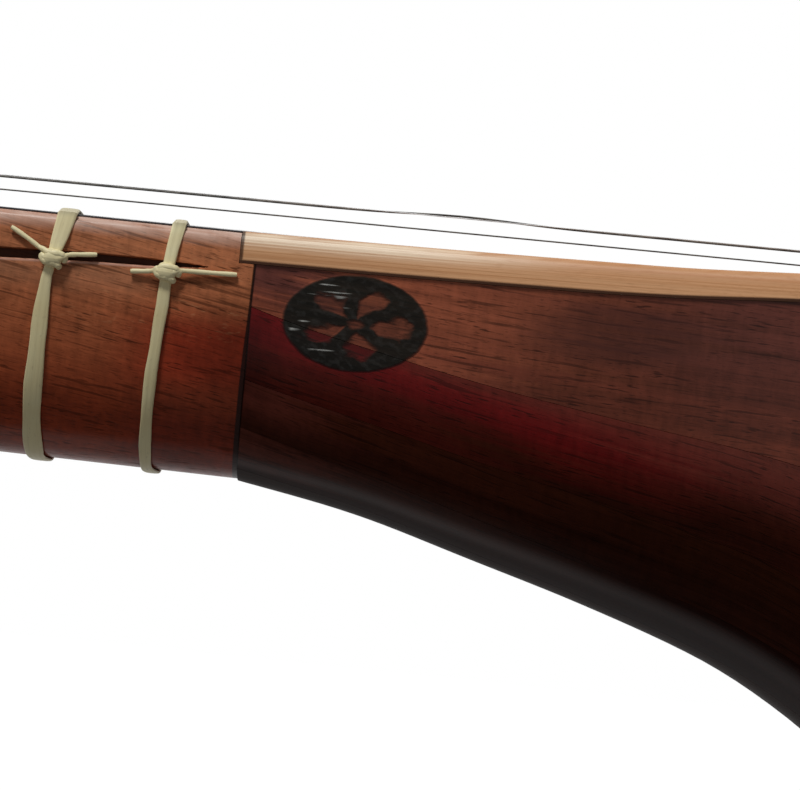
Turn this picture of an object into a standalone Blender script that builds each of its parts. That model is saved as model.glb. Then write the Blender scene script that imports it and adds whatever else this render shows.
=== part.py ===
"""A setar, a long-necked plucked lute, as an assembly of its real pieces.

Metres, +Z up out of the soundboard, head towards -X, bowl towards +X, bass side towards -Y.
The origin lies under the middle of the whole length, at the level of the bowl's lowest point.
Lengths along the instrument are given from the nut (u) or from the soundboard's tip (s),
drops are measured down from the playing surface.
"""
import math

import bpy
import bmesh
from mathutils import Matrix, Vector

# Main sizes
SCALE_LENGTH = 0.650          # nut to bridge
NECK_LENGTH = 0.4283          # nut to the soundboard's tip
BOWL_LENGTH = 0.290           # soundboard's tip to tail
BOWL_HALF_WIDTH = 0.080
BOWL_DEPTH = 0.138            # playing surface to the lowest point of the bowl
BELLY_AT = 0.205              # from the soundboard's tip to the widest, deepest section
HEAD_LENGTH = 0.118

# Clearances
GAP = 0.0003                  # between glued or resting pieces
SEAM_GAP = 0.0003             # between neighbouring staves
FRET_CLEARANCE = 0.00025      # between a tied fret and the neck
CUT_REACH = 0.03              # how far a cutter reaches past the piece it cuts

# Neck
NUT_HALF_WIDTH = 0.0120
JOINT_HALF_WIDTH = 0.0145
NUT_DEPTH = 0.0240
JOINT_DEPTH = 0.0287
NECK_POWER = 2.5              # roundness of the U-shaped section, 2 is an ellipse
NECK_FACETS = 16              # flats round the back of neck, head and frets
FACING_THICKNESS = 0.0008
GROOVE_DROP = 0.0056          # the knot groove's middle, below the playing surface
GROOVE_HEIGHT = 0.0014
GROOVE_DEPTH = 0.0010
GROOVE_STOP = 0.0046          # bare length between groove and soundboard

# Bowl
STAVE_COUNT = 9
WALL = 0.003
BELLY_POWER = 2.08
TAIL_POWER = 2.2              # roundness of the bowl's end
CAP_THICKNESS = 0.003
CAP_ROUNDING = 0.0034         # the tail cap's outer face is this much smaller all round
NECK_BLOCK_LENGTH = 0.032
TAIL_BLOCK_LENGTH = 0.014
NECK_SEAM = 0.0015            # the neck ends this far inside the soundboard's tip
TWIST_LENGTH = 0.095          # the seams swing from their joint to their belly places in this
JOINT_SEAMS = (10.6, 32.0, 49.0, 72.0)   # degrees down from the rim, at the neck
FIRST_BELLY_SEAM = 27.0       # degrees down from the rim, at the belly; the rest are even
ROUND_SOONER = 1.6            # the section rounds out this much sooner than it grows
# Share of the way from joint size to belly size, at shares of the way to the belly
FLARE = ((0.0, 0.0), (0.09, 0.030), (0.20, 0.089), (0.29, 0.151), (0.35, 0.214),
         (0.463, 0.378), (0.61, 0.610), (0.805, 0.872), (1.0, 1.0))

# Soundboard
BOARD_THICKNESS = 0.0035
BOARD_EDGE = 0.0011           # rounding of its top edge
HOLE_RADIUS = 0.0016
ROSE_AT = 0.128               # middle of the large ring of holes, from the tip
ROSE_RADIUS = 0.0085
ROSE_HOLES = 6
SIDE_ROSE_AT = 0.150
SIDE_ROSE_OUT = 0.040
SIDE_ROSE_RADIUS = 0.0048
SIDE_ROSE_HOLES = 3

# Head
HEAD_DROP = 0.0060            # fall of its front face from nut to tip
HEAD_TIP_HALF_WIDTH = 0.0105
HEAD_TIP_DEPTH = 0.0240
HEAD_CAP_LENGTH = 0.004
HEAD_CAP_ROUNDING = 0.0022    # its end face is this much smaller all round
HEAD_CHAMFER = 0.0048         # bass edge cut back for the strings of the side pegs
CHAMFER_STEEPNESS = 1.6       # the chamfer falls this much more than it goes in
NUT_LENGTH = 0.0036
NUT_HEIGHT = 0.0019           # above the playing surface

# Pegs
PEG_SIDES = 16
PEG_RADIUS = 0.0036
PEG_TIP_RADIUS = 0.0030
PEG_CLEARANCE = 0.0003
PEG_STAND = 0.0125            # bare shaft between head and grip
FRONT_PEG_REACH = 0.93        # share of the head's depth that a front peg fills
SIDE_PEG_REACH = 0.86         # share of the head's width that a side peg fills
GRIP_RADIUS = 0.0088
GRIP_LENGTH = 0.026
GRIP_FLATNESS = 0.58
FRONT_PEGS = (0.030, 0.078)   # behind the nut
SIDE_PEGS = (0.052, 0.100)
SIDE_PEG_DROP = 0.0135        # below the playing surface

# Windings of string on the pegs
WINDING_LOOPS = 3
WINDING_POINTS = 16
WINDING_RADIUS = 0.00028
WINDING_PITCH = 0.0011
WINDING_START = 0.0040        # from the head's face

# Strings
STRING_NAMES = ("bass", "octave", "middle", "treble")
STRING_RADIUS = {"bass": 0.00024, "octave": 0.00015, "middle": 0.00018, "treble": 0.00015}
NUT_Y = {"octave": -0.0100, "bass": -0.0080, "middle": 0.0002, "treble": 0.0080}
BRIDGE_Y = {"octave": -0.0114, "bass": -0.0094, "middle": 0.0004, "treble": 0.0110}
STRING_AT_NUT = 0.0015        # height over the playing surface
STRING_AT_BRIDGE = {"octave": 0.0063, "bass": 0.0063, "middle": 0.0057, "treble": 0.0037}
STRING_STOP = 0.0022          # free space between a string's end and its turning winding
STRING_LIFT = 0.0006          # a side string's end above its winding's top
SLOT_CLEARANCE = 0.0003

# Frets, in cents above the open string; True marks a fret of four turns
FRET_CENTS = ((90, False), (135, False), (205, True), (295, False), (340, False),
              (410, True), (500, True), (565, False), (630, False), (700, True),
              (790, False), (835, False), (910, True), (1000, False), (1065, False),
              (1130, True), (1200, True), (1290, False), (1335, False), (1405, True),
              (1495, False), (1540, False), (1610, True), (1700, True), (1800, False))
GUT_THICKNESS = 0.0005
GUT_WIDTH = 0.00062           # one turn
GUT_CORNER = 0.0006           # rounding where the band turns over the playing edge
KNOT_DROP = 0.0056
KNOT_WAIST = 0.3              # share of its width that the band loses at the knot
KNOT_WAIST_REACH = 0.004      # along the band, each way
KNOT_HALF_LENGTH = 0.0013
KNOT_HALF_HEIGHT = 0.0011
KNOT_HALF_THICKNESS = 0.00075
TAIL_RADIUS = 0.00032
TAIL_LENGTH = 0.0050
TAIL_SHARE = 0.30             # of the free space to the next fret
LAST_FRET_ROOM = 0.0020       # least bare neck between a fret and the soundboard

# Bridge and string holder
BRIDGE_HALF_FOOT = 0.026
BRIDGE_HALF_TOP = 0.0145
BRIDGE_FOOT_HEIGHT = 0.0012    # at the ends of its feet
BRIDGE_FOOT_THICKNESS = 0.0055
BRIDGE_TOP_THICKNESS = 0.0024
BRIDGE_ARCH_HALF = 0.015
BRIDGE_ARCH_HEIGHT = 0.0018
BRIDGE_LIP = 0.0007           # wood above the bottom of the string notches
HOLDER_HALF_WIDTH = 0.017
HOLDER_REACH = 0.010          # over the soundboard
HOLDER_HEIGHT = 0.0052
HOLDER_LEG = 0.016
HOLDER_THICKNESS = 0.0034
HOLDER_BORE_DEPTH = 0.005
STRING_AT_HOLDER = 0.0028
HOLDER_SPREAD = 0.75          # string spacing at the holder as a share of that at the bridge

# Places worked out from the sizes
TOTAL_LENGTH = HEAD_LENGTH + NECK_LENGTH + BOWL_LENGTH + GAP + HOLDER_THICKNESS
NUT_X = HEAD_LENGTH - TOTAL_LENGTH / 2
TIP_X = NUT_X + NECK_LENGTH
BRIDGE_X = NUT_X + SCALE_LENGTH
TAIL_X = TIP_X + BOWL_LENGTH
TOP_Z = BOWL_DEPTH
NECK_TOP = FACING_THICKNESS + GAP
RIM = BOARD_THICKNESS + GAP
CAP_AT = BOWL_LENGTH - CAP_THICKNESS

# Colours from the photograph, linear
COLOURS = {
    "neck": ((0.150, 0.062, 0.030), 0.35),
    "facing": ((0.020, 0.020, 0.026), 0.40),
    "gut": ((0.470, 0.450, 0.290), 0.45),
    "board": ((0.640, 0.420, 0.240), 0.45),
    "brown": ((0.085, 0.034, 0.019), 0.30),
    "crimson": ((0.075, 0.012, 0.010), 0.30),
    "dark": ((0.022, 0.009, 0.006), 0.30),
    "bone": ((0.700, 0.640, 0.500), 0.35),
    "peg": ((0.060, 0.026, 0.014), 0.30),
    "inner": ((0.330, 0.200, 0.110), 0.70),
    "steel": ((0.480, 0.480, 0.500), 0.30),
    "bronze": ((0.420, 0.250, 0.120), 0.35),
}
STAVE_COLOURS = ("brown", "crimson", "dark", "brown", "dark", "brown", "dark", "crimson", "brown")


def clear_scene():
    for obj in list(bpy.data.objects):
        bpy.data.objects.remove(obj, do_unlink=True)


def finish(key):
    """The Principled material of one colour, made once."""
    found = bpy.data.materials.get(key)
    if found:
        return found
    colour, roughness = COLOURS[key]
    material = bpy.data.materials.new(key)
    material.use_nodes = True
    shader = material.node_tree.nodes["Principled BSDF"]
    shader.inputs["Base Color"].default_value = (*colour, 1.0)
    shader.inputs["Roughness"].default_value = roughness
    shader.inputs["Metallic"].default_value = 1.0 if key in ("steel", "bronze") else 0.0
    material.diffuse_color = (*colour, 1.0)
    return material


def place(name, mesh, key, location=(0, 0, 0), angle=40):
    """Put a mesh in the scene as a named piece with its material."""
    shaped = bmesh.new()
    shaped.from_mesh(mesh)
    bmesh.ops.recalc_face_normals(shaped, faces=shaped.faces)
    shaped.to_mesh(mesh)
    shaped.free()
    mesh.shade_smooth()
    mesh.set_sharp_from_angle(angle=math.radians(angle))
    obj = bpy.data.objects.new(name, mesh)
    obj.location = location
    obj.data.materials.append(finish(key))
    bpy.context.collection.objects.link(obj)
    return obj


def mesh_of(name, points, faces):
    mesh = bpy.data.meshes.new(name)
    mesh.from_pydata([tuple(p) for p in points], [], faces)
    return mesh


def loft(name, rings, closed=False):
    """Skin a row of equal rings of points; open ends get flat caps, a closed row none."""
    size = len(rings[0])
    points = [p for ring in rings for p in ring]
    faces = []
    steps = len(rings) if closed else len(rings) - 1
    for i in range(steps):
        a = i * size
        b = ((i + 1) % len(rings)) * size
        for j in range(size):
            k = (j + 1) % size
            faces.append((a + j, a + k, b + k, b + j))
    if not closed:
        faces.append(tuple(range(size)))
        faces.append(tuple((len(rings) - 1) * size + j for j in range(size)))
    return mesh_of(name, points, faces)


def prism(name, outline, low, high, axis="Y"):
    """Extrude a flat outline along X, Y or Z."""
    rings = []
    for at in (low, high):
        if axis == "X":
            rings.append([(at, p[0], p[1]) for p in outline])
        elif axis == "Y":
            rings.append([(p[0], at, p[1]) for p in outline])
        else:
            rings.append([(p[0], p[1], at) for p in outline])
    return loft(name, rings)


def box(name, low, high):
    outline = ((low[0], low[1]), (high[0], low[1]), (high[0], high[1]), (low[0], high[1]))
    return prism(name, outline, low[2], high[2], "Z")


def turned(name, profile, sides, flatness=None):
    """A lathe shape round local Z from (radius, height) pairs, flattened along Y if asked."""
    rings = []
    for radius, height in profile:
        ring = []
        for j in range(sides):
            turn = 2 * math.pi * j / sides
            squeeze = flatness(height) if flatness else 1.0
            ring.append((radius * math.cos(turn), radius * math.sin(turn) * squeeze, height))
        rings.append(ring)
    return loft(name, rings)


def cut(obj, mesh, operation="DIFFERENCE"):
    """Cut or join another mesh into a piece; the cutter stays hidden as a wire."""
    cutter = place(obj.name + "_cutter", mesh, "facing")
    cutter.hide_render = True
    cutter.display_type = "WIRE"
    change = obj.modifiers.new("cut", "BOOLEAN")
    change.operation = operation
    change.solver = "EXACT"
    change.object = cutter


def smooth_through(pairs, at):
    """Cubic through (place, value) pairs with no overshoot, level at the last pair."""
    slopes = []
    for i in range(len(pairs) - 1):
        run = pairs[i + 1][0] - pairs[i][0]
        slopes.append((pairs[i + 1][1] - pairs[i][1]) / run)
    tangents = [slopes[0]]
    for i in range(1, len(slopes)):
        tangents.append(2 * slopes[i - 1] * slopes[i] / (slopes[i - 1] + slopes[i]))
    tangents.append(0.0)
    i = 0
    while i < len(slopes) - 1 and at > pairs[i + 1][0]:
        i += 1
    run = pairs[i + 1][0] - pairs[i][0]
    t = min(max((at - pairs[i][0]) / run, 0.0), 1.0)
    start = (1 + 2 * t) * (1 - t) ** 2 * pairs[i][1] + t * (1 - t) ** 2 * run * tangents[i]
    end = t * t * (3 - 2 * t) * pairs[i + 1][1] + t * t * (t - 1) * run * tangents[i + 1]
    return start + end


def bowl_size(s):
    """Half-width, depth and roundness of the bowl's section at s from the soundboard's tip."""
    if s <= BELLY_AT:
        share = smooth_through(FLARE, s / BELLY_AT)
        half = JOINT_HALF_WIDTH + (BOWL_HALF_WIDTH - JOINT_HALF_WIDTH) * share
        depth = JOINT_DEPTH + (BOWL_DEPTH - JOINT_DEPTH) * share
        power = NECK_POWER + (BELLY_POWER - NECK_POWER) * min(1.0, ROUND_SOONER * share)
        return half, depth, power
    past = min((s - BELLY_AT) / (BOWL_LENGTH - BELLY_AT), 1.0)
    left = (1 - past ** TAIL_POWER) ** (1 / TAIL_POWER)
    return BOWL_HALF_WIDTH * left, RIM + (BOWL_DEPTH - RIM) * left, BELLY_POWER


def neck_size(u):
    """Half-width, depth and roundness of the neck's section at u from the nut."""
    share = u / NECK_LENGTH
    half = NUT_HALF_WIDTH + (JOINT_HALF_WIDTH - NUT_HALF_WIDTH) * share
    return half, NUT_DEPTH + (JOINT_DEPTH - NUT_DEPTH) * share, NECK_POWER


def side_at(size, drop, inset=0.0):
    """Half-width of a section at a drop below the playing surface."""
    half, depth, power = size
    share = min(max(drop, 0.0) / (depth - inset), 1.0)
    return (half - inset) * (1 - share ** power) ** (1 / power)


def wall_point(x, size, top, angle, inset=0.0):
    """A point of a section, at an angle down from the near rim (0) under to the far rim (180)."""
    drop = top + (size[1] - inset - top) * math.sin(math.radians(angle))
    y = side_at(size, drop, inset)
    return Vector((x, -y if angle < 90 else y, TOP_Z - drop))


def section_ring(x, size, top, steps, inset=0.0):
    return [wall_point(x, size, top, 180 * j / steps, inset) for j in range(steps + 1)]


def tip_x(s):
    return TIP_X + s


def make_neck():
    """The neck bar, cut down under the soundboard's tip and grooved for the fret knots."""
    rings = []
    for u in (GAP / 2, NECK_LENGTH * 0.5, NECK_LENGTH + NECK_SEAM - GAP / 2):
        rings.append(section_ring(NUT_X + u, neck_size(u), NECK_TOP, NECK_FACETS))
    neck = place("neck", loft("neck", rings), "neck")
    far = CUT_REACH
    rebate = box("rebate", (TIP_X - GAP, -far, TOP_Z - RIM), (TIP_X + far, far, TOP_Z + far))
    cut(neck, rebate)
    ends = []
    for u in (-GROOVE_HEIGHT, NECK_LENGTH - GROOVE_STOP):
        side = side_at(neck_size(u), GROOVE_DROP)
        low = TOP_Z - GROOVE_DROP - GROOVE_HEIGHT / 2
        ends.append([(NUT_X + u, -side - far, low), (NUT_X + u, -side + GROOVE_DEPTH, low),
                     (NUT_X + u, -side + GROOVE_DEPTH, low + GROOVE_HEIGHT),
                     (NUT_X + u, -side - far, low + GROOVE_HEIGHT)])
    cut(neck, loft("groove", ends))


def make_fingerboard():
    rings = []
    for u in (0.0, NECK_LENGTH - GAP):
        half = neck_size(u)[0]
        x = NUT_X + u
        rings.append([(x, -half, TOP_Z - FACING_THICKNESS), (x, half, TOP_Z - FACING_THICKNESS),
                      (x, half, TOP_Z), (x, -half, TOP_Z)])
    place("fingerboard", loft("fingerboard", rings), "facing")


def head_face(back):
    """Drop of the head's front face at a distance behind the nut."""
    level = NUT_LENGTH + 2 * GAP
    run = HEAD_LENGTH - level
    return NECK_TOP + HEAD_DROP * max(back - level, 0.0) / run


def head_size(back):
    share = back / HEAD_LENGTH
    half = NUT_HALF_WIDTH + (HEAD_TIP_HALF_WIDTH - NUT_HALF_WIDTH) * share
    return half, NUT_DEPTH + (HEAD_TIP_DEPTH - NUT_DEPTH) * share, NECK_POWER


def make_head():
    """The peg head: a bar with a chamfered bass edge and four peg holes."""
    rings = []
    level = NUT_LENGTH + 2 * GAP
    for back in (HEAD_LENGTH - HEAD_CAP_LENGTH - GAP, HEAD_LENGTH * 0.5, level, GAP / 2):
        rings.append(section_ring(NUT_X - back, head_size(back), head_face(back), NECK_FACETS))
    head = place("head", loft("head", rings), "neck")
    ends = []
    for back in (NUT_LENGTH + 2 * GAP, HEAD_LENGTH + HEAD_CHAMFER):
        x = NUT_X - back
        side = head_size(back)[0]
        top = TOP_Z - head_face(back)
        low = top - CHAMFER_STEEPNESS * HEAD_CHAMFER
        ends.append([(x, -side + HEAD_CHAMFER, top + GAP), (x, -side - GAP, low),
                     (x, -side - HEAD_CHAMFER, low), (x, -side - HEAD_CHAMFER, top + GAP)])
    cut(head, loft("chamfer", ends))
    radius = PEG_RADIUS + PEG_CLEARANCE
    for name in STRING_NAMES:
        foot, turn = peg_frame(name)
        hole = turned("hole", ((radius, -CUT_REACH), (radius, CUT_REACH)), PEG_SIDES)
        hole.transform(Matrix.Translation(foot) @ turn)
        cut(head, hole)


def make_head_cap():
    """The rounded end piece of the head."""
    rings = []
    for share, smaller in ((0.0, 1.0), (0.45, 0.27), (1.0, 0.0)):
        back = HEAD_LENGTH - HEAD_CAP_LENGTH * share
        inset = HEAD_CAP_ROUNDING * smaller
        top = head_face(back) + inset
        rings.append(section_ring(NUT_X - back, head_size(back), top, NECK_FACETS, inset))
    place("head_cap", loft("head_cap", rings), "bone")


def slot(radius):
    return radius + SLOT_CLEARANCE


def make_nut():
    """The slotted bone strip that the strings leave the head over."""
    half = neck_size(0)[0]
    low = (NUT_X - NUT_LENGTH - GAP, -half, TOP_Z - FACING_THICKNESS)
    high = (NUT_X - GAP, half, TOP_Z + NUT_HEIGHT)
    nut = place("nut", box("nut", low, high), "bone")
    for name in STRING_NAMES:
        wide = slot(STRING_RADIUS[name])
        bottom = TOP_Z + STRING_AT_NUT - wide
        cut(nut, box("slot", (NUT_X - CUT_REACH, NUT_Y[name] - wide, bottom),
                     (NUT_X + CUT_REACH, NUT_Y[name] + wide, TOP_Z + CUT_REACH)))


def grip_squeeze(height):
    """Round shaft below, flattened grip above."""
    return 1.0 if height <= PEG_STAND else GRIP_FLATNESS


def peg_mesh(name, inside):
    """A peg along local +Z: its shaft reaches inside the head, its grip stands outside."""
    profile = ((PEG_TIP_RADIUS * 0.8, -inside), (PEG_TIP_RADIUS, -inside + 0.0006),
               (PEG_RADIUS, 0.0), (PEG_RADIUS, PEG_STAND - 0.002), (PEG_RADIUS * 1.45, PEG_STAND - 0.001),
               (PEG_RADIUS * 1.45, PEG_STAND), (PEG_RADIUS * 1.2, PEG_STAND + 0.0008),
               (GRIP_RADIUS * 0.80, PEG_STAND + GRIP_LENGTH * 0.26),
               (GRIP_RADIUS, PEG_STAND + GRIP_LENGTH * 0.46),
               (GRIP_RADIUS * 0.92, PEG_STAND + GRIP_LENGTH * 0.66),
               (GRIP_RADIUS * 0.55, PEG_STAND + GRIP_LENGTH * 0.84),
               (GRIP_RADIUS * 0.50, PEG_STAND + GRIP_LENGTH * 0.90),
               (GRIP_RADIUS * 0.32, PEG_STAND + GRIP_LENGTH))
    return turned(name, profile, PEG_SIDES, grip_squeeze)


def winding_points(outward):
    """The winding's helix round local Z, from the string's side outward."""
    radius = PEG_RADIUS + GAP + WINDING_RADIUS
    points = []
    for i in range(WINDING_LOOPS * WINDING_POINTS + 1):
        loops = i / WINDING_POINTS
        turn = 2 * math.pi * loops
        points.append(Vector((radius * math.cos(turn), radius * math.sin(turn),
                              outward + WINDING_PITCH * loops)))
    return points


def least_gap(points, radius):
    """Least distance between the tube's surface and itself a loop or more away."""
    least = 1.0
    apart = WINDING_POINTS // 2
    for i, a in enumerate(points):
        for b in points[i + apart:]:
            least = min(least, (a - b).length)
    return least - 2 * radius


def tube_curve(name, points, radius, key, resolution):
    """A round tube along straight runs between points, with flat ends."""
    curve = bpy.data.curves.new(name, "CURVE")
    curve.dimensions = "3D"
    curve.bevel_depth = radius
    curve.bevel_resolution = resolution
    curve.use_fill_caps = True
    spline = curve.splines.new("POLY")
    spline.points.add(len(points) - 1)
    for target, point in zip(spline.points, points):
        target.co = (*point, 1.0)
    obj = bpy.data.objects.new(name, curve)
    curve.materials.append(finish(key))
    bpy.context.collection.objects.link(obj)
    return obj


def peg_frame(name):
    """Where a string's peg stands: its foot on the head's surface and its turn from +Z."""
    if name in ("middle", "treble"):
        back = FRONT_PEGS[("middle", "treble").index(name)]
        return Vector((NUT_X - back, 0, TOP_Z - head_face(back))), Matrix.Identity(4)
    back = SIDE_PEGS[("octave", "bass").index(name)]
    side = side_at(head_size(back), SIDE_PEG_DROP)
    return Vector((NUT_X - back, -side, TOP_Z - SIDE_PEG_DROP)), Matrix.Rotation(math.pi / 2, 4, "X")


def make_pegs():
    for name in STRING_NAMES:
        foot, turn = peg_frame(name)
        front = name in ("middle", "treble")
        inside = FRONT_PEG_REACH * NUT_DEPTH if front else SIDE_PEG_REACH * 2 * NUT_HALF_WIDTH
        peg = place("peg_" + name, peg_mesh("peg_" + name, inside), "peg", foot)
        peg.rotation_euler = turn.to_euler()
        key = "bronze" if name in ("bass", "middle") else "steel"
        points = winding_points(WINDING_START)
        winding = tube_curve("winding_" + name, points, WINDING_RADIUS, key, 1)
        winding.parent = peg
    print("least gap of a winding to itself, mm:", round(least_gap(points, WINDING_RADIUS) * 1000, 3))


def peg_end(name):
    """Where a string stops, just short of its winding."""
    foot, turn = peg_frame(name)
    reach = WINDING_START + WINDING_PITCH * WINDING_LOOPS / 2
    out = PEG_RADIUS + GAP + WINDING_RADIUS
    if name in ("middle", "treble"):
        side = out if name == "treble" else -out
        return foot + Vector((STRING_STOP, side, reach))
    return foot + Vector((STRING_STOP, -reach, out + STRING_LIFT))


def string_at(name, u):
    """A string's straight run between nut and bridge."""
    share = u / SCALE_LENGTH
    y = NUT_Y[name] + (BRIDGE_Y[name] - NUT_Y[name]) * share
    height = STRING_AT_NUT + (STRING_AT_BRIDGE[name] - STRING_AT_NUT) * share
    return Vector((NUT_X + u, y, TOP_Z + height))


def holder_end(name):
    """The blind end of a string's bore in the holder."""
    return Vector((TAIL_X - HOLDER_REACH + HOLDER_BORE_DEPTH - GAP, BRIDGE_Y[name] * HOLDER_SPREAD,
                   TOP_Z + STRING_AT_HOLDER))


def make_strings():
    """Each string from just short of its winding, over nut and bridge, into the holder."""
    for name in STRING_NAMES:
        nut_in = string_at(name, 0.0)
        nut_out = Vector((NUT_X - NUT_LENGTH - 2 * GAP, nut_in.y, nut_in.z))
        end = holder_end(name)
        mouth = Vector((end.x - HOLDER_BORE_DEPTH, end.y, end.z))
        points = [peg_end(name), nut_out, nut_in, string_at(name, SCALE_LENGTH), mouth, end]
        key = "bronze" if name in ("bass", "middle") else "steel"
        tube_curve("string_" + name, points, STRING_RADIUS[name], key, 1)


def board_outline(inset):
    """The soundboard's near edge from tip to tail, then back along the far edge."""
    near = []
    for i in range(12):
        s = BELLY_AT * i / 12
        near.append((tip_x(s) + (inset if i == 0 else 0.0), -(bowl_size(s)[0] - inset)))
    steps = 9
    for i in range(steps + 1):
        turn = math.pi / 2 * i / steps
        s = (BOWL_LENGTH - BELLY_AT - inset) * math.sin(turn) ** (2 / TAIL_POWER)
        y = (BOWL_HALF_WIDTH - inset) * max(math.cos(turn), 0.0) ** (2 / TAIL_POWER)
        near.append((tip_x(BELLY_AT + s), -y))
    far = [(x, -y) for x, y in near[-2::-1]]
    return near + far


def sound_holes():
    """Middles of the small holes: a ringed one and a group on each side."""
    places = [(ROSE_AT, 0.0)]
    for i in range(ROSE_HOLES):
        turn = 2 * math.pi * i / ROSE_HOLES
        places.append((ROSE_AT + ROSE_RADIUS * math.cos(turn), ROSE_RADIUS * math.sin(turn)))
    for side in (-1, 1):
        for i in range(SIDE_ROSE_HOLES):
            turn = 2 * math.pi * i / SIDE_ROSE_HOLES
            places.append((SIDE_ROSE_AT + SIDE_ROSE_RADIUS * math.cos(turn),
                           side * (SIDE_ROSE_OUT + SIDE_ROSE_RADIUS * math.sin(turn))))
    return places


def make_soundboard():
    """The board lies on the rim of the bowl and laps onto the neck."""
    rings = []
    for drop, inset in ((BOARD_THICKNESS, 0.0), (BOARD_EDGE, 0.0), (BOARD_EDGE * 0.3, BOARD_EDGE * 0.3),
                        (0.0, BOARD_EDGE)):
        rings.append([(x, y, TOP_Z - drop) for x, y in board_outline(inset)])
    board = place("soundboard", loft("soundboard", rings), "board")
    cutter = bmesh.new()
    for s, y in sound_holes():
        centre = Matrix.Translation((tip_x(s), y, TOP_Z - BOARD_THICKNESS / 2))
        bmesh.ops.create_cone(cutter, cap_ends=True, segments=8, radius1=HOLE_RADIUS,
                              radius2=HOLE_RADIUS, depth=BOARD_THICKNESS * 2, matrix=centre)
    holes = bpy.data.meshes.new("holes")
    cutter.to_mesh(holes)
    cutter.free()
    cut(board, holes)


def belly_seam(index):
    """Seam angle at the belly: the seams beside the rim leave a wider first stave."""
    step = (180 - 2 * FIRST_BELLY_SEAM) / (STAVE_COUNT - 2)
    if index == 0:
        return 0.0
    if index == STAVE_COUNT:
        return 180.0
    return FIRST_BELLY_SEAM + step * (index - 1)


def seam_angle(index, s):
    """Angle of a seam at s; each far seam mirrors a near one."""
    middle = STAVE_COUNT / 2
    if index > middle:
        return 180.0 - seam_angle(STAVE_COUNT - index, s)
    at_belly = belly_seam(index)
    at_joint = 0.0 if index == 0 else JOINT_SEAMS[min(index - 1, len(JOINT_SEAMS) - 1)]
    t = min(max(s / TWIST_LENGTH, 0.0), 1.0)
    return at_joint + (at_belly - at_joint) * t * t * (3 - 2 * t)


def closing_angle(s):
    """Angle of s along the rounded end of the bowl: 0 at the belly, 90 degrees at the tail."""
    return math.asin(((s - BELLY_AT) / (BOWL_LENGTH - BELLY_AT)) ** (TAIL_POWER / 2))


def closing_stations(first, last, steps):
    """Places between first and last on the rounded end, evenly spread in angle."""
    start, end = closing_angle(first), closing_angle(last)
    places = []
    for i in range(steps + 1):
        turn = start + (end - start) * i / steps
        places.append(BELLY_AT + (BOWL_LENGTH - BELLY_AT) * math.sin(turn) ** (2 / TAIL_POWER))
    return places


def even_stations(first, last, steps):
    return [first + (last - first) * i / steps for i in range(steps + 1)]


def neck_block_stations():
    start = NECK_SEAM + GAP / 2
    return even_stations(start, start + NECK_BLOCK_LENGTH, 3)


def tail_block_stations():
    return closing_stations(CAP_AT - TAIL_BLOCK_LENGTH, CAP_AT, 3)


def stave_stations():
    """Sections along a stave, among them those of both blocks."""
    neck_end = neck_block_stations()
    tail_end = tail_block_stations()
    flare = even_stations(neck_end[-1], BELLY_AT, 8)
    closing = closing_stations(BELLY_AT, tail_end[0], 5)
    return neck_end + flare[1:] + closing[1:] + tail_end[1:]


def stave_angles(index, s):
    """Angles of a stave's edges and middle at s, drawn in by half a seam on each side."""
    half_seam = math.degrees(SEAM_GAP / 2 / bowl_size(s)[0])
    first = seam_angle(index, s) + (half_seam if index > 0 else 0.0)
    last = seam_angle(index + 1, s) - (half_seam if index < STAVE_COUNT - 1 else 0.0)
    return first, (first + last) / 2, last


def make_staves():
    """Strips from neck to tail cap, parted by narrow seams."""
    for index in range(STAVE_COUNT):
        rings = []
        for s in stave_stations():
            size = bowl_size(s)
            angles = stave_angles(index, s)
            outer = [wall_point(tip_x(s), size, RIM, a) for a in angles]
            inner = [wall_point(tip_x(s), size, RIM, a, WALL) for a in reversed(angles)]
            rings.append(outer + inner)
        name = "stave_%d" % (index + 1)
        place(name, loft(name, rings), STAVE_COLOURS[index % len(STAVE_COLOURS)])


def make_block(name, stations):
    """A block inside the bowl, with the facets of the staves that are glued to it."""
    rings = []
    for s in stations:
        ring = []
        for index in range(STAVE_COUNT):
            for angle in stave_angles(index, s):
                ring.append(wall_point(tip_x(s), bowl_size(s), RIM, angle, WALL + GAP))
        rings.append(ring)
    place(name, loft(name, rings), "inner")


def make_blocks():
    make_block("neck_block", neck_block_stations())
    make_block("tail_block", tail_block_stations())


def make_tail_cap():
    """The plate over the ends of the staves."""
    rings = []
    size = bowl_size(CAP_AT)
    for share, smaller in ((0.0, 0.0), (0.5, 0.26), (1.0, 1.0)):
        x = tip_x(CAP_AT + GAP + (CAP_THICKNESS - GAP) * share)
        inset = CAP_ROUNDING * smaller
        rings.append(section_ring(x, size, RIM, NECK_FACETS, inset))
    place("tail_cap", loft("tail_cap", rings), "dark")


def make_holder():
    """The bone angle at the tail, with a blind bore for each string."""
    back = TAIL_X + GAP + HOLDER_THICKNESS
    front = TAIL_X - HOLDER_REACH
    low = TOP_Z + GAP
    outline = ((front, low), (TAIL_X + GAP, low), (TAIL_X + GAP, TOP_Z - HOLDER_LEG),
               (back, TOP_Z - HOLDER_LEG), (back, TOP_Z + HOLDER_HEIGHT * 0.6),
               (back - HOLDER_THICKNESS * 0.6, TOP_Z + HOLDER_HEIGHT), (front, TOP_Z + HOLDER_HEIGHT))
    mesh = prism("string_holder", outline, -HOLDER_HALF_WIDTH, HOLDER_HALF_WIDTH)
    holder = place("string_holder", mesh, "bone")
    for name in STRING_NAMES:
        end = holder_end(name)
        wide = slot(STRING_RADIUS[name])
        bore = turned("bore", ((wide, -CUT_REACH), (wide, HOLDER_BORE_DEPTH)), 8)
        bore.transform(Matrix.Translation((front, end.y, end.z)) @ Matrix.Rotation(math.pi / 2, 4, "Y"))
        cut(holder, bore)


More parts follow.
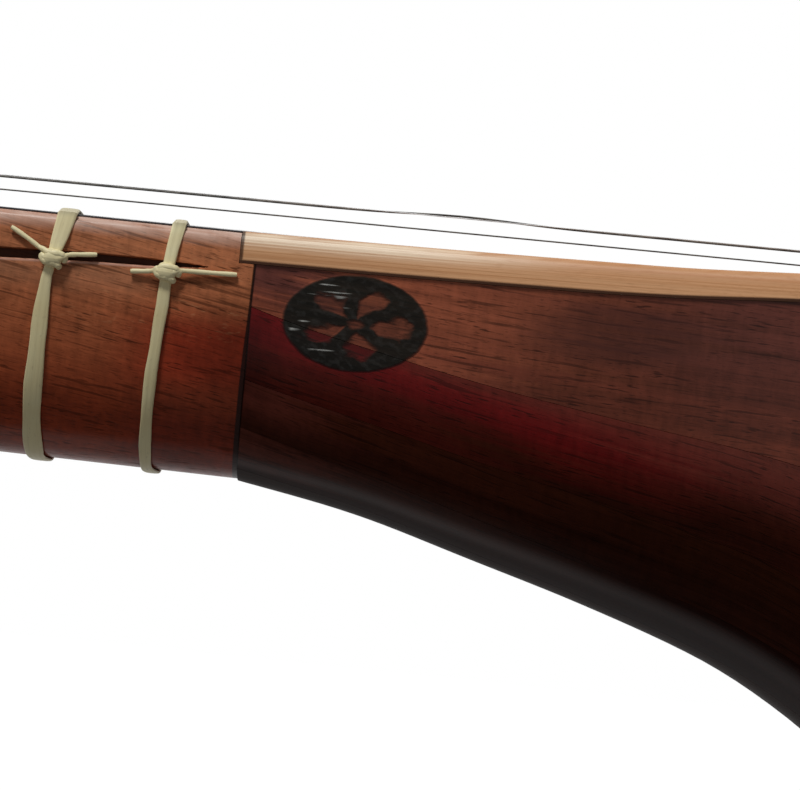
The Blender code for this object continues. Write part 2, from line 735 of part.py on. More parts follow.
def bridge_top(y):
    """Height of the bridge's notch bottoms across its width, under each string."""
    known = [(BRIDGE_Y[n], STRING_AT_BRIDGE[n] - slot(STRING_RADIUS[n])) for n in ("bass", "treble")]
    share = (y - known[0][0]) / (known[1][0] - known[0][0])
    return known[0][1] + (known[1][1] - known[0][1]) * share


def make_bridge():
    """The loose bridge: arched feet, a thin top and a notch for each string."""
    heights = {y: bridge_top(y) + BRIDGE_LIP for y in (-BRIDGE_HALF_TOP, BRIDGE_HALF_TOP)}
    foot = GAP
    outline = [(-BRIDGE_HALF_FOOT, foot), (-BRIDGE_ARCH_HALF, foot),
               (-BRIDGE_ARCH_HALF * 0.8, foot + BRIDGE_ARCH_HEIGHT * 0.8),
               (0.0, foot + BRIDGE_ARCH_HEIGHT), (BRIDGE_ARCH_HALF * 0.8, foot + BRIDGE_ARCH_HEIGHT * 0.8),
               (BRIDGE_ARCH_HALF, foot), (BRIDGE_HALF_FOOT, foot),
               (BRIDGE_HALF_FOOT, foot + BRIDGE_FOOT_HEIGHT),
               (BRIDGE_HALF_TOP, heights[BRIDGE_HALF_TOP]), (-BRIDGE_HALF_TOP, heights[-BRIDGE_HALF_TOP]),
               (-BRIDGE_HALF_FOOT, foot + BRIDGE_FOOT_HEIGHT)]
    tallest = heights[-BRIDGE_HALF_TOP]
    rings = []
    for side in (-1, 1):
        ring = []
        for y, z in outline:
            thin = BRIDGE_FOOT_THICKNESS + (BRIDGE_TOP_THICKNESS - BRIDGE_FOOT_THICKNESS) * z / tallest
            ring.append((side * thin / 2, y, z))
        rings.append(ring)
    bridge = place("bridge", loft("bridge", rings), "peg", (BRIDGE_X, 0, TOP_Z))
    for name in STRING_NAMES:
        wide = slot(STRING_RADIUS[name])
        bottom = STRING_AT_BRIDGE[name] - wide
        notch = box("notch", (BRIDGE_X - CUT_REACH, BRIDGE_Y[name] - wide, TOP_Z + bottom),
                    (BRIDGE_X + CUT_REACH, BRIDGE_Y[name] + wide, TOP_Z + CUT_REACH))
        cut(bridge, notch)


def fret_places():
    """Distance from the nut and turns of each fret that the neck has room for."""
    frets = []
    for cents, wide in FRET_CENTS:
        u = SCALE_LENGTH * (1 - 2 ** (-cents / 1200))
        turns = 4 if wide else 3
        if u + turns * GUT_WIDTH / 2 + LAST_FRET_ROOM < NECK_LENGTH:
            frets.append((u, turns))
    return frets


def fret_ring(x_offset, size, out):
    """Points round the neck's section, a distance out from it."""
    half, depth, power = size
    grown = (half + out, depth + out, power)
    ring = [Vector((x_offset, -half - out + GUT_CORNER, out))]
    for j in range(NECK_FACETS + 1):
        point = wall_point(x_offset, grown, NECK_TOP if 0 < j < NECK_FACETS else 0.0,
                           180 * j / NECK_FACETS)
        point.z -= TOP_Z
        ring.append(point)
    ring.append(Vector((x_offset, half + out - GUT_CORNER, out)))
    return ring


def knot_mesh(left, right):
    """Knot and two tails as one spindle along X."""
    profile = ((-left, TAIL_RADIUS, TAIL_RADIUS), (-KNOT_HALF_LENGTH, TAIL_RADIUS, TAIL_RADIUS),
               (-KNOT_HALF_LENGTH * 0.5, KNOT_HALF_THICKNESS, KNOT_HALF_HEIGHT),
               (KNOT_HALF_LENGTH * 0.5, KNOT_HALF_THICKNESS, KNOT_HALF_HEIGHT),
               (KNOT_HALF_LENGTH, TAIL_RADIUS, TAIL_RADIUS), (right, TAIL_RADIUS, TAIL_RADIUS))
    rings = []
    for x, thick, high in profile:
        ring = []
        for j in range(6):
            turn = 2 * math.pi * (j + 0.5) / 6
            ring.append((x, thick * math.cos(turn), high * math.sin(turn)))
        rings.append(ring)
    return loft("knot", rings)


def make_fret(index, u, turns, room):
    """One tied fret: a flat band of gut round the neck, drawn in at its knot."""
    size = neck_size(u)
    half_band = turns * GUT_WIDTH / 2
    rings = []
    out = FRET_CLEARANCE + GUT_THICKNESS
    for side, offset in ((-1, FRET_CLEARANCE), (-1, out), (1, out), (1, FRET_CLEARANCE)):
        ring = fret_ring(0.0, size, offset)
        for point in ring:
            near = math.exp(-((point.z + KNOT_DROP) / KNOT_WAIST_REACH) ** 2) if point.y < 0 else 0.0
            point.x = side * half_band * (1 - KNOT_WAIST * near)
        rings.append(ring)
    name = "fret_%02d" % (index + 1)
    fret = place(name, loft(name, rings, closed=True), "gut", (NUT_X + u, 0, TOP_Z))
    left, right = [min(TAIL_LENGTH, KNOT_HALF_LENGTH + TAIL_SHARE * free) for free in room]
    knot = knot_mesh(left, right)
    y = -(side_at(size, KNOT_DROP) + FRET_CLEARANCE + GUT_THICKNESS + GUT_THICKNESS / 2)
    knot.transform(Matrix.Translation((NUT_X + u, y, TOP_Z - KNOT_DROP)))
    cut(fret, knot, "UNION")


def make_frets():
    frets = fret_places()
    for index, (u, turns) in enumerate(frets):
        before = frets[index - 1][0] if index else 0.0
        after = frets[index + 1][0] if index + 1 < len(frets) else NECK_LENGTH
        band = turns * GUT_WIDTH
        make_fret(index, u, turns, (u - before - band, after - u - band))


def main():
    clear_scene()
    make_neck()
    make_fingerboard()
    make_head()
    make_head_cap()
    make_nut()
    make_pegs()
    make_strings()
    make_soundboard()
    make_staves()
    make_blocks()
    make_tail_cap()
    make_holder()
    make_bridge()
    make_frets()


main()
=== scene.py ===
"""The looks of the setar: the finish of every piece, over the fixed frame of its solids.

Metres, in the frame of the solids: +X from head to bowl, +Z up out of the soundboard, -Y towards
the bass side. u is a distance from the nut, s a distance from the soundboard's tip, and a drop is
measured down from the playing surface. Near means the bass side, which faces the camera.
"""

import math

import bmesh
import bpy
import numpy as np
from mathutils import Matrix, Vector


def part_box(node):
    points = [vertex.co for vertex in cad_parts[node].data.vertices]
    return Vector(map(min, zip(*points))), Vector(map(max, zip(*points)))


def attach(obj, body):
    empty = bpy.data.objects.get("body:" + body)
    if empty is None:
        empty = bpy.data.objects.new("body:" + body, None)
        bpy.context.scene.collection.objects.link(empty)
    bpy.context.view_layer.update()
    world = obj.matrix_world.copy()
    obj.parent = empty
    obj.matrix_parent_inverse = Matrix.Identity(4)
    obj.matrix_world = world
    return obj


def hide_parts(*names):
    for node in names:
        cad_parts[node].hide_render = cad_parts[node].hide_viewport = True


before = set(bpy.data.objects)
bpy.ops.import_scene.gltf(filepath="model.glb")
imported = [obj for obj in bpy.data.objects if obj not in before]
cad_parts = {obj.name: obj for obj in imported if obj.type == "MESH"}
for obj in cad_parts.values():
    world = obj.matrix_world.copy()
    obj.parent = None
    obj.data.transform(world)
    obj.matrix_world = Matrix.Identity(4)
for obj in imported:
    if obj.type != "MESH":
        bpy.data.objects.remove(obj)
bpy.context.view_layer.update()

# Main sizes, as in the solids
SCALE_LENGTH = 0.650
NECK_LENGTH = 0.4283
BOWL_LENGTH = 0.290
BELLY_AT = 0.205
BOWL_HALF_WIDTH = 0.080
BOWL_DEPTH = 0.138
HEAD_LENGTH = 0.118
GAP = 0.0003
TOP_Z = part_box("fingerboard")[1].z
NUT_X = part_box("fingerboard")[0].x
TIP_X = NUT_X + NECK_LENGTH
TIP_FORWARD = 0.00042
TAIL_X = TIP_X + BOWL_LENGTH
BRIDGE_X = NUT_X + SCALE_LENGTH

# Neck and fingerboard
NUT_HALF_WIDTH = 0.0120
JOINT_HALF_WIDTH = 0.0145
NUT_DEPTH = 0.0240
JOINT_DEPTH = 0.02895
NECK_POWER = 2.5
SHOULDER = 0.0014             # height of the neck's rounded upper edge
SHOULDER_IN = 0.0011
FACING_THICKNESS = 0.00022
WOOD_TOP = FACING_THICKNESS + 0.00003
NECK_SEAM = 0.0015            # the neck ends this far inside the soundboard's tip
GROOVE_DEPTH = 0.0009
GROOVE_STOP = 0.0043          # bare length between groove and soundboard
GROOVE_TAPER = 0.0085         # length over which the groove narrows to its end

# Bowl
STAVE_COUNT = 9
WALL = 0.003
BELLY_POWER = 2.08
TAIL_POWER = 2.2
ROUND_SOONER = 1.6
CAP_THICKNESS = 0.003
CAP_ROUNDING = 0.0034
CAP_AT = BOWL_LENGTH - CAP_THICKNESS
TWIST_LENGTH = 0.021          # over which the seams turn most of the way to the belly's angles
JOINT_SEAMS = (10.6, 32.0, 49.0, 72.0)
FIRST_BELLY_SEAM = 25.3
FLARE = ((0.0, 0.0), (0.09, 0.030), (0.20, 0.089), (0.29, 0.151), (0.35, 0.214),
         (0.463, 0.378), (0.61, 0.610), (0.805, 0.872), (1.0, 1.0))
SEAM_GAP = 0.00004
GLUE_LINE = 0.00006
BACK_SWELL = (0.029, 0.0005)     # a slight fullness of the back, where and how much
BACK_HOLLOW = (0.045, 0.0010)    # and the hollow after it

# Soundboard
BOARD_THICKNESS = 0.0035
BOARD_EDGE = 0.0013            # how far the rounded edge reaches in
BOARD_ROUNDING = 0.0024        # and how far down
RIM = BOARD_THICKNESS + GLUE_LINE
BOARD_ARCH = 0.00033           # rise of the board past its narrow end
EDGE_LIP = 0.00045             # how much thicker the board's edge is at its narrow end
HOLE_RADIUS = 0.0016
ROSE_AT, ROSE_RADIUS, ROSE_HOLES = 0.128, 0.0085, 6
SIDE_ROSE_AT, SIDE_ROSE_OUT, SIDE_ROSE_RADIUS, SIDE_ROSE_HOLES = 0.150, 0.040, 0.0048, 3

# Head and nut
HEAD_DROP = 0.0060
HEAD_TIP_HALF_WIDTH = 0.0105
HEAD_TIP_DEPTH = 0.0240
HEAD_CAP_LENGTH = 0.004
HEAD_CAP_ROUNDING = 0.0022
HEAD_CHAMFER = 0.0048
CHAMFER_STEEPNESS = 1.6
NUT_LENGTH = 0.0036
NUT_HEIGHT = 0.0019

# Pegs and windings
PEG_RADIUS = 0.0036
PEG_STAND = 0.0125
GRIP_RADIUS = 0.0088
GRIP_LENGTH = 0.026
GRIP_FLATNESS = 0.58
PEG_PLACES = {"middle": ("front", 0.030), "treble": ("front", 0.078),
              "octave": ("side", 0.052), "bass": ("side", 0.100)}
SIDE_PEG_DROP = 0.0135
WINDING_START = 0.0040
BRIDGE_ROOM = 0.0032

# Strings
STRING_NAMES = ("bass", "octave", "middle", "treble")
STRING_RADIUS = {"bass": 0.00013, "octave": 0.00006, "middle": 0.00010, "treble": 0.00009}
NUT_Y = {"octave": -0.0100, "bass": -0.0080, "middle": 0.0002, "treble": 0.0080}
BRIDGE_Y = {"octave": -0.0114, "bass": -0.0094, "middle": 0.0004, "treble": 0.0110}
STRING_AT_NUT = {"octave": 0.00141, "bass": 0.00129, "middle": 0.00106, "treble": 0.0014}
STRING_AT_BRIDGE = {"octave": 0.00589, "bass": 0.00609, "middle": 0.00561, "treble": 0.0037}
KINK_AT = 0.0260              # the bass string's slight bend, from the soundboard's tip
KINK_RISE = 0.000385
KINK_REACH = 0.0085

# Frets, in cents above the open string; True marks a fret of four turns
FRET_CENTS = ((90, False), (135, False), (205, True), (295, False), (340, False),
              (410, True), (500, True), (565, False), (630, False), (700, True),
              (790, False), (835, False), (910, True), (1000, False), (1065, False),
              (1130, True), (1200, True), (1290, False), (1335, False), (1405, True),
              (1495, False), (1540, False), (1610, True), (1700, True), (1800, False))
GUT_TURN = 0.00063
GUT_THICKNESS = 0.00050
GUT_OFF_WOOD = 0.00005
STRAND_RADIUS = 0.00029
KNOT_RADIUS = 0.00044         # a strand where it swells inside the knot
STRAND_FLATNESS = 0.78
KNOT_DROP = 0.0055

# Bridge and string holder
BRIDGE_HALF_FOOT = 0.026
BRIDGE_HALF_TOP = 0.0145
BRIDGE_FOOT_HEIGHT = 0.0012
BRIDGE_FOOT_THICKNESS = 0.0055
BRIDGE_TOP_THICKNESS = 0.0024
BRIDGE_ARCH_HALF = 0.015
BRIDGE_ARCH_HEIGHT = 0.0018
BRIDGE_LIP = 0.0007
HOLDER_HALF_WIDTH = 0.017
HOLDER_REACH = 0.010
HOLDER_HEIGHT = 0.0052
HOLDER_LEG = 0.016
HOLDER_THICKNESS = 0.0034
HOLDER_BORE_DEPTH = 0.005
STRING_AT_HOLDER = 0.0028
HOLDER_SPREAD = 0.75

# The burnt ornament on the bowl's near side
MARK_AT = (0.01414, -0.00994)  # from the soundboard's tip, and from the playing surface
MARK_HALF = (0.0087, 0.0057)

# Camera, fitted to the photograph
FRAME_WIDTH, FRAME_HEIGHT = 800, 790
SENSOR = 36.0
FOCAL_PIXELS = 3349.8
CAMERA_ELEVATION = math.radians(-4.6)
CAMERA_ROLL = math.radians(5.85)
CAMERA_DISTANCE = 0.400
CAMERA_TARGET = (TIP_X + 0.02035, -0.0145, TOP_Z - 0.01783)

# Light
KEY_AZIMUTH, KEY_ELEVATION = -28.0, 57.0
KEY_POWER = 2.3
SKY_POWER = 0.13
FLOOR_ALBEDO = 0.21
FLOOR_GLOW = 0.88
FLOOR_Z = -0.0004


# Curves and surfaces

def cubic_through(pairs, at):
    """Cubic through (place, value) pairs with no overshoot, level at the last pair.

    Each tangent is the harmonic mean of the slopes on its two sides.
    """
    place, value = np.array(pairs, float).T
    run = np.diff(place)
    slope = np.diff(value) / run
    inner = 2 * slope[:-1] * slope[1:] / (slope[:-1] + slope[1:])
    tangent = np.concatenate(([slope[0]], inner, [0.0]))
    i = np.clip(np.searchsorted(place, at, side="right") - 1, 0, len(run) - 1)
    t = np.clip((at - place[i]) / run[i], 0.0, 1.0)
    start = (1 + 2 * t) * (1 - t) ** 2 * value[i] + t * (1 - t) ** 2 * run[i] * tangent[i]
    end = t * t * (3 - 2 * t) * value[i + 1] + t * t * (t - 1) * run[i] * tangent[i + 1]
    return start + end


def ease(value, low, high):
    """0 below low, 1 above high, and 3t^2 - 2t^3 between."""
    t = np.clip((np.asarray(value, float) - low) / (high - low), 0.0, 1.0)
    return t * t * (3 - 2 * t)


def smooth_path(points, steps):
    """Catmull-Rom path through points, with equal steps between each pair."""
    p = np.asarray(points, float)
    p = np.concatenate(([2 * p[0] - p[1]], p, [2 * p[-1] - p[-2]]))
    t = np.linspace(0, 1, steps, endpoint=False)[None, :, None]
    a, b, c, d = (p[i:len(p) - 3 + i, None, :] for i in range(4))
    inner = 0.5 * (2 * b + (c - a) * t + (2 * a - 5 * b + 4 * c - d) * t ** 2
                   + (3 * b - a - 3 * c + d) * t ** 3)
    return np.concatenate((inner.reshape(-1, p.shape[1]), p[-2:-1]))


def unit(vectors):
    return vectors / np.linalg.norm(vectors, axis=-1, keepdims=True)


def tube(path, radius, sides, upright=(0.0, 0.0, 1.0)):
    """Rings round a path: centre + radius * (cos(turn) * across + sin(turn) * over).

    across is the cross product of the path's direction and the upright vector.
    """
    ahead = unit(np.gradient(path, axis=0))
    across = unit(np.cross(ahead, upright))
    over = np.cross(across, ahead)
    turn = np.linspace(0, 2 * np.pi, sides, endpoint=False)[:, None]
    ring = across[:, None] * np.cos(turn) + over[:, None] * np.sin(turn)
    radius = np.broadcast_to(radius, len(path))
    return path[:, None] + ring * radius[:, None, None]


def bowl_size(s):
    """Half-width, depth and roundness of the bowl's section at s.

    Up to the belly they grow from the joint's by the flare's share. Past it the outline closes
    as a superellipse: left = (1 - past^p)^(1/p).
    """
    s = np.asarray(s, float)
    share = cubic_through(FLARE, s / BELLY_AT)
    past = np.clip((s - BELLY_AT) / (BOWL_LENGTH - BELLY_AT), 0.0, 1.0)
    left = (1 - past ** TAIL_POWER) ** (1 / TAIL_POWER)
    half = (JOINT_HALF_WIDTH + (BOWL_HALF_WIDTH - JOINT_HALF_WIDTH) * share) * left
    depth = RIM + (JOINT_DEPTH + (BOWL_DEPTH - JOINT_DEPTH) * share - RIM) * left
    depth = depth + BACK_SWELL[1] * np.exp(-((s - BACK_SWELL[0]) / 0.012) ** 2)
    depth = depth - BACK_HOLLOW[1] * ease(s, BACK_HOLLOW[0], 0.075) * ease(s, 0.170, 0.100)
    power = NECK_POWER + (BELLY_POWER - NECK_POWER) * np.minimum(1.0, ROUND_SOONER * share)
    return half, depth, power


def board_rise(s):
    """How far the board lies above the playing surface's level: a flat arch, level by the bridge."""
    return BOARD_ARCH * ease(s, 0.050, 0.070) * ease(s, 0.200, 0.140)


def rim_at(s):
    """Drop of the staves' upper edge, under the board's arch and its thicker narrow end."""
    return RIM + EDGE_LIP * ease(s, 0.066, 0.040) - board_rise(s)


def neck_size(u):
    """Half-width, depth and roundness of the neck's section at u, in straight tapers."""
    share = np.asarray(u, float) / NECK_LENGTH
    half = NUT_HALF_WIDTH + (JOINT_HALF_WIDTH - NUT_HALF_WIDTH) * share
    return half, NUT_DEPTH + (JOINT_DEPTH - NUT_DEPTH) * share, NECK_POWER


def head_size(back):
    share = np.asarray(back, float) / HEAD_LENGTH
    half = NUT_HALF_WIDTH + (HEAD_TIP_HALF_WIDTH - NUT_HALF_WIDTH) * share
    return half, NUT_DEPTH + (HEAD_TIP_DEPTH - NUT_DEPTH) * share, NECK_POWER


def side_at(size, drop, inset=0.0):
    """Half-width of a section at a drop: half * (1 - (drop / depth)^p)^(1/p)."""
    half, depth, power = size
    share = np.clip(drop / (depth - inset), 0.0, 1.0)
    return (half - inset) * (1 - share ** power) ** (1 / power)


def drop_angle(size, top, drop):
    """Angle on a section, in degrees from the rim, of a drop."""
    return np.degrees(np.arcsin(np.clip((drop - top) / (size[1] - top), 0.0, 1.0)))


def section(x, size, top, angle, inset=0.0):
    """Points of U-shaped sections, at angles down from the near rim (0) under to the far (180).

    drop = top + (depth - inset - top) * sin(angle), and y is the half-width at that drop.
    """
    turn = np.radians(angle)
    drop = top + (size[1] - inset - top) * np.sin(turn)
    y = side_at(size, drop, inset)
    y = np.where(np.cos(turn) > 0, -y, y)
    return np.stack(np.broadcast_arrays(x, y, TOP_Z - drop), -1)


def rounded_shoulder(points, size, top, height, inward):
    """Draw a section's upper edges in as a quarter ellipse: in * (1 - sqrt(1 - (1 - d/h)^2))."""
    drop = TOP_Z - points[..., 2]
    left = np.clip(1 - (drop - top) / height, 0.0, 1.0)
    moved = inward * (1 - np.sqrt(1 - left ** 2))
    points[..., 1] -= np.sign(points[..., 1]) * moved
    return points


def quads(rows, cols, wrap_rows, wrap_cols):
    """Corner numbers of the quads of a grid."""
    r, c = np.meshgrid(np.arange(rows if wrap_rows else rows - 1),
                       np.arange(cols if wrap_cols else cols - 1), indexing="ij")
    r2, c2 = (r + 1) % rows, (c + 1) % cols
    corners = np.stack([r * cols + c, r * cols + c2, r2 * cols + c2, r2 * cols + c], -1)
    return corners.reshape(-1, 4)


class Shape:
    """Grids of points gathered into one mesh, with values kept for its material."""

    def __init__(self):
        self.points = []
        self.faces = []
        self.marks = {}
        self.count = 0

    def grid(self, points, wrap_rows=False, wrap_cols=True, caps=True, **marks):
        """Rows of points skinned with quads; caps close the first and last row."""
        rows, cols = points.shape[:2]
        faces = quads(rows, cols, wrap_rows, wrap_cols) + self.count
        self.faces += faces.tolist()
        if caps and not wrap_rows:
            first = np.arange(cols) + self.count
            self.faces.append(first[::-1].tolist())
            self.faces.append((first + (rows - 1) * cols).tolist())
        self.points.append(points.reshape(-1, 3))
        for name, value in marks.items():
            flat = np.broadcast_to(value, (rows, cols, 3)).reshape(-1, 3)
            self.marks.setdefault(name, []).append(flat)
        self.count += rows * cols
        return self

    def mesh(self, name):
        made = bpy.data.meshes.new(name)
        made.from_pydata(np.concatenate(self.points).tolist(), [], self.faces)
        for mark, values in self.marks.items():
            layer = made.attributes.new(mark, "FLOAT_VECTOR", "POINT")
            layer.data.foreach_set("vector", np.concatenate(values).ravel())
        return made


def face_outwards(mesh):
    """Turn a closed mesh inside out if its signed volume is negative."""
    mesh.calc_loop_triangles()
    corners = np.empty(len(mesh.loop_triangles) * 3, np.int32)
    mesh.loop_triangles.foreach_get("vertices", corners)
    places = np.empty(len(mesh.vertices) * 3)
    mesh.vertices.foreach_get("co", places)
    a, b, c = places.reshape(-1, 3)[corners.reshape(-1, 3)].transpose(1, 0, 2)
    if (np.cross(a, b) * c).sum() < 0:
        mesh.flip_normals()


def piece(name, mesh, finish, body, node, sharp=35):
    """Put a finished mesh in the scene in place of a solid."""
    face_outwards(mesh)
    mesh.shade_smooth()
    mesh.set_sharp_from_angle(angle=math.radians(sharp))
    obj = bpy.data.objects.new(name, mesh)
    bpy.context.scene.collection.objects.link(obj)
    obj.data.materials.append(finish)
    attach(obj, body)
    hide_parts(node)
    return obj


def drilled(mesh, drills):
    """A mesh with cylinders cut out of it; a drill is (radius, length, matrix)."""
    cutter = bmesh.new()
    for radius, length, matrix in drills:
        bmesh.ops.create_cone(cutter, cap_ends=True, segments=28, radius1=radius, radius2=radius,
                              depth=length, matrix=matrix)
    cutter_mesh = bpy.data.meshes.new("drills")
    cutter.to_mesh(cutter_mesh)
    cutter.free()
    tool = bpy.data.objects.new("drills", cutter_mesh)
    block = bpy.data.objects.new("block", mesh)
    for obj in (tool, block):
        bpy.context.scene.collection.objects.link(obj)
    change = block.modifiers.new("drill", "BOOLEAN")
    change.operation = "DIFFERENCE"
    change.solver = "EXACT"
    change.object = tool
    graph = bpy.context.evaluated_depsgraph_get()
    made = bpy.data.meshes.new_from_object(block.evaluated_get(graph))
    for obj in (tool, block):
        bpy.data.objects.remove(obj)
    return made


# Shader maths

class Value:
    """A number, colour or vector in a material; + - * / on numbers add Math nodes."""

    def __init__(self, finish, socket):
        self.finish = finish
        self.socket = socket

    def maths(self, operation, first, second, clamp=False):
        return self.finish.node("ShaderNodeMath", {0: first, 1: second},
                                operation=operation, use_clamp=clamp)

    def __add__(self, other):
        return self.maths("ADD", self, other)

    def __sub__(self, other):
        return self.maths("SUBTRACT", self, other)

    def __rsub__(self, other):
        return self.maths("SUBTRACT", other, self)

    def __mul__(self, other):
        return self.maths("MULTIPLY", self, other)

    def __truediv__(self, other):
        return self.maths("DIVIDE", self, other)

    def __pow__(self, other):
        return self.maths("POWER", self, other)

    __radd__ = __add__
    __rmul__ = __mul__

    def most(self, other):
        return self.maths("MAXIMUM", self, other)

    def least(self, other):
        return self.maths("MINIMUM", self, other)

    def size(self):
        return self.finish.node("ShaderNodeMath", {0: self}, operation="ABSOLUTE")

    def eased(self, low, high):
        """0 below low, 1 above high, smooth between; falls if low is above high."""
        return self.finish.node("ShaderNodeMapRange", {0: self, 1: low, 2: high, 3: 0.0, 4: 1.0},
                                interpolation_type="SMOOTHSTEP")

    def parts(self):
        split = self.finish.node("ShaderNodeSeparateXYZ", {0: self})
        return [Value(self.finish, split.socket.node.outputs[i]) for i in range(3)]


class Finish:
    """One material: a Principled shader and the nodes that feed it."""

    def __init__(self, name, **constants):
        self.material = bpy.data.materials.new(name)
        self.material.use_nodes = True
        self.tree = self.material.node_tree
        self.shader = self.tree.nodes["Principled BSDF"]
        for key, value in constants.items():
            self.shader.inputs[key.replace("_", " ")].default_value = value

    def node(self, kind, inputs=None, output=0, **settings):
        """Add a node: settings first, then the values or links of its sockets."""
        made = self.tree.nodes.new(kind)
        for key, value in settings.items():
            setattr(made, key, value)
        for key, value in (inputs or {}).items():
            if isinstance(value, Value):
                self.tree.links.new(value.socket, made.inputs[key])
            else:
                made.inputs[key].default_value = value
        return Value(self, made.outputs[output])

    def feed(self, name, value):
        self.tree.links.new(value.socket, self.shader.inputs[name])

    def place(self):
        """Object coordinates, in metres."""
        return self.node("ShaderNodeTexCoord", output=3)

    def mark(self, name):
        """A value kept on the mesh by its maker."""
        return self.node("ShaderNodeAttribute", output=1, attribute_name=name)

    def vector(self, x, y, z):
        return self.node("ShaderNodeCombineXYZ", {0: x, 1: y, 2: z})

    def turned(self, vector, degrees):
        """A vector turned about Y, so that the grain leans."""
        spin = (0.0, math.radians(degrees), 0.0)
        return self.node("ShaderNodeMapping", {0: vector, 2: spin}, vector_type="POINT")

    def noise(self, vector, per_metre, detail=3.0, roughness=0.5, warp=0.0):
        """Noise with its own number of waves per metre along each axis."""
        stretched = self.node("ShaderNodeVectorMath", {0: vector, 1: per_metre},
                              operation="MULTIPLY")
        return self.node("ShaderNodeTexNoise", {0: stretched, "Scale": 1.0, "Detail": detail,
                                                "Roughness": roughness, "Distortion": warp})

    def mix(self, factor, first, second, blend="MIX"):
        """Mix of two colours, which may be colours or links."""
        first = first if isinstance(first, Value) else (*first, 1.0)
        second = second if isinstance(second, Value) else (*second, 1.0)
        return self.node("ShaderNodeMix", {0: factor, 6: first, 7: second}, output=2,
                         data_type="RGBA", blend_type=blend)

    def blend(self, factor, first, second):
        """Mix of two numbers."""
        return self.node("ShaderNodeMix", {0: factor, 2: first, 3: second}, data_type="FLOAT")

    def bump(self, height, distance, strength=1.0):
        """Normal from a height; distance is the height, in metres, of a value of 1."""
        return self.node("ShaderNodeBump", {"Strength": strength, "Distance": distance,
                                            "Height": height})


# Wood

def grain(finish, place, seed, lean=0.0, pores=1.0, fine=1.0):
    """Tone, streaks, pores and cross figure of wood whose grain runs along x.

    Each is noise stretched along the grain; pores are its peaks, thinned out by wide patches.
    """
    moved = finish.node("ShaderNodeVectorMath", {0: place, 1: (seed, seed * 0.37, seed * 0.71)},
                        operation="ADD")
    leaning = finish.turned(moved, lean)
    tone = finish.noise(leaning, (22.0, 90.0, 90.0), 3.0)
    streak = finish.noise(leaning, (28.0 * fine, 1300.0 * fine, 1300.0 * fine), 4.0, 0.62, 0.15)
    fibre = finish.noise(leaning, (170.0, 7000.0, 7000.0), 2.0, 0.6)
    dash = finish.noise(leaning, (430.0, 4300.0, 4300.0), 1.0, 0.4)
    dot = finish.noise(leaning, (1100.0, 7000.0, 7000.0), 1.0, 0.4)
    patch = finish.noise(moved, (110.0, 330.0, 330.0), 2.0)
    pore = dash.eased(0.60, 0.72) * patch.eased(0.34, 0.60) * pores
    vein = finish.noise(leaning, (90.0, 2000.0, 2000.0), 2.0, 0.5).eased(0.58, 0.68)
    pore = pore.most(dot.eased(0.60, 0.75) * 0.55 * pores).most(vein * 0.80 * pores)
    figure = finish.noise(moved, (850.0, 330.0, 330.0), 3.0, 0.6, 0.3)
    return tone, streak, fibre, pore, figure


def shaded(finish, colour, amount):
    """A colour made lighter or darker by a factor."""
    return finish.node("ShaderNodeVectorMath", {0: colour, "Scale": amount}, operation="SCALE")


def drop_of(finish):
    """Height under the playing surface, and distance from the soundboard's tip."""
    x, y, z = finish.place().parts()
    return TOP_Z - z, x - TIP_X, y


def joint_line(finish, drop, s):
    """The dark glue line between neck and bowl, thicker towards its lower end."""
    middle = 0.00150 - (drop - 0.0037) * 0.011
    half = 0.00013 + drop.eased(0.008, 0.018) * 0.00018
    return ((s - middle).size() - half).eased(0.00013, -0.00005)


def joint_shade(finish, colour, drop, s):
    """Wood darkened softly beside the glue line, in the corner between neck and bowl: painted shade."""
    near = s.size().eased(0.0080, 0.0005) * drop.eased(0.0062, 0.0115) * drop.eased(0.024, 0.018)
    return finish.mix(near * 0.80, colour, shaded(finish, colour, 0.50))


def rim_level(s):
    """Drop of the glue line under the soundboard's edge, up to the arch's top."""
    return s.eased(0.066, 0.040) * EDGE_LIP - s.eased(0.050, 0.070) * BOARD_ARCH + BOARD_THICKNESS


def varied(amounts):
    """Brightness that varies round 1: each noise's distance from its middle, times an amount."""
    total = 1.0
    for noise, amount in amounts:
        total = (noise - 0.5) * amount + total
    return total


def gloss_band(angle):
    """Varnish on the underside, thinning towards its middle: 0.03 + 7.2 (0.95 - angle)^2."""
    left = (0.95 - angle).most(0.0)
    return angle.eased(0.69, 0.77) * (left * left * 7.2 + 0.03)


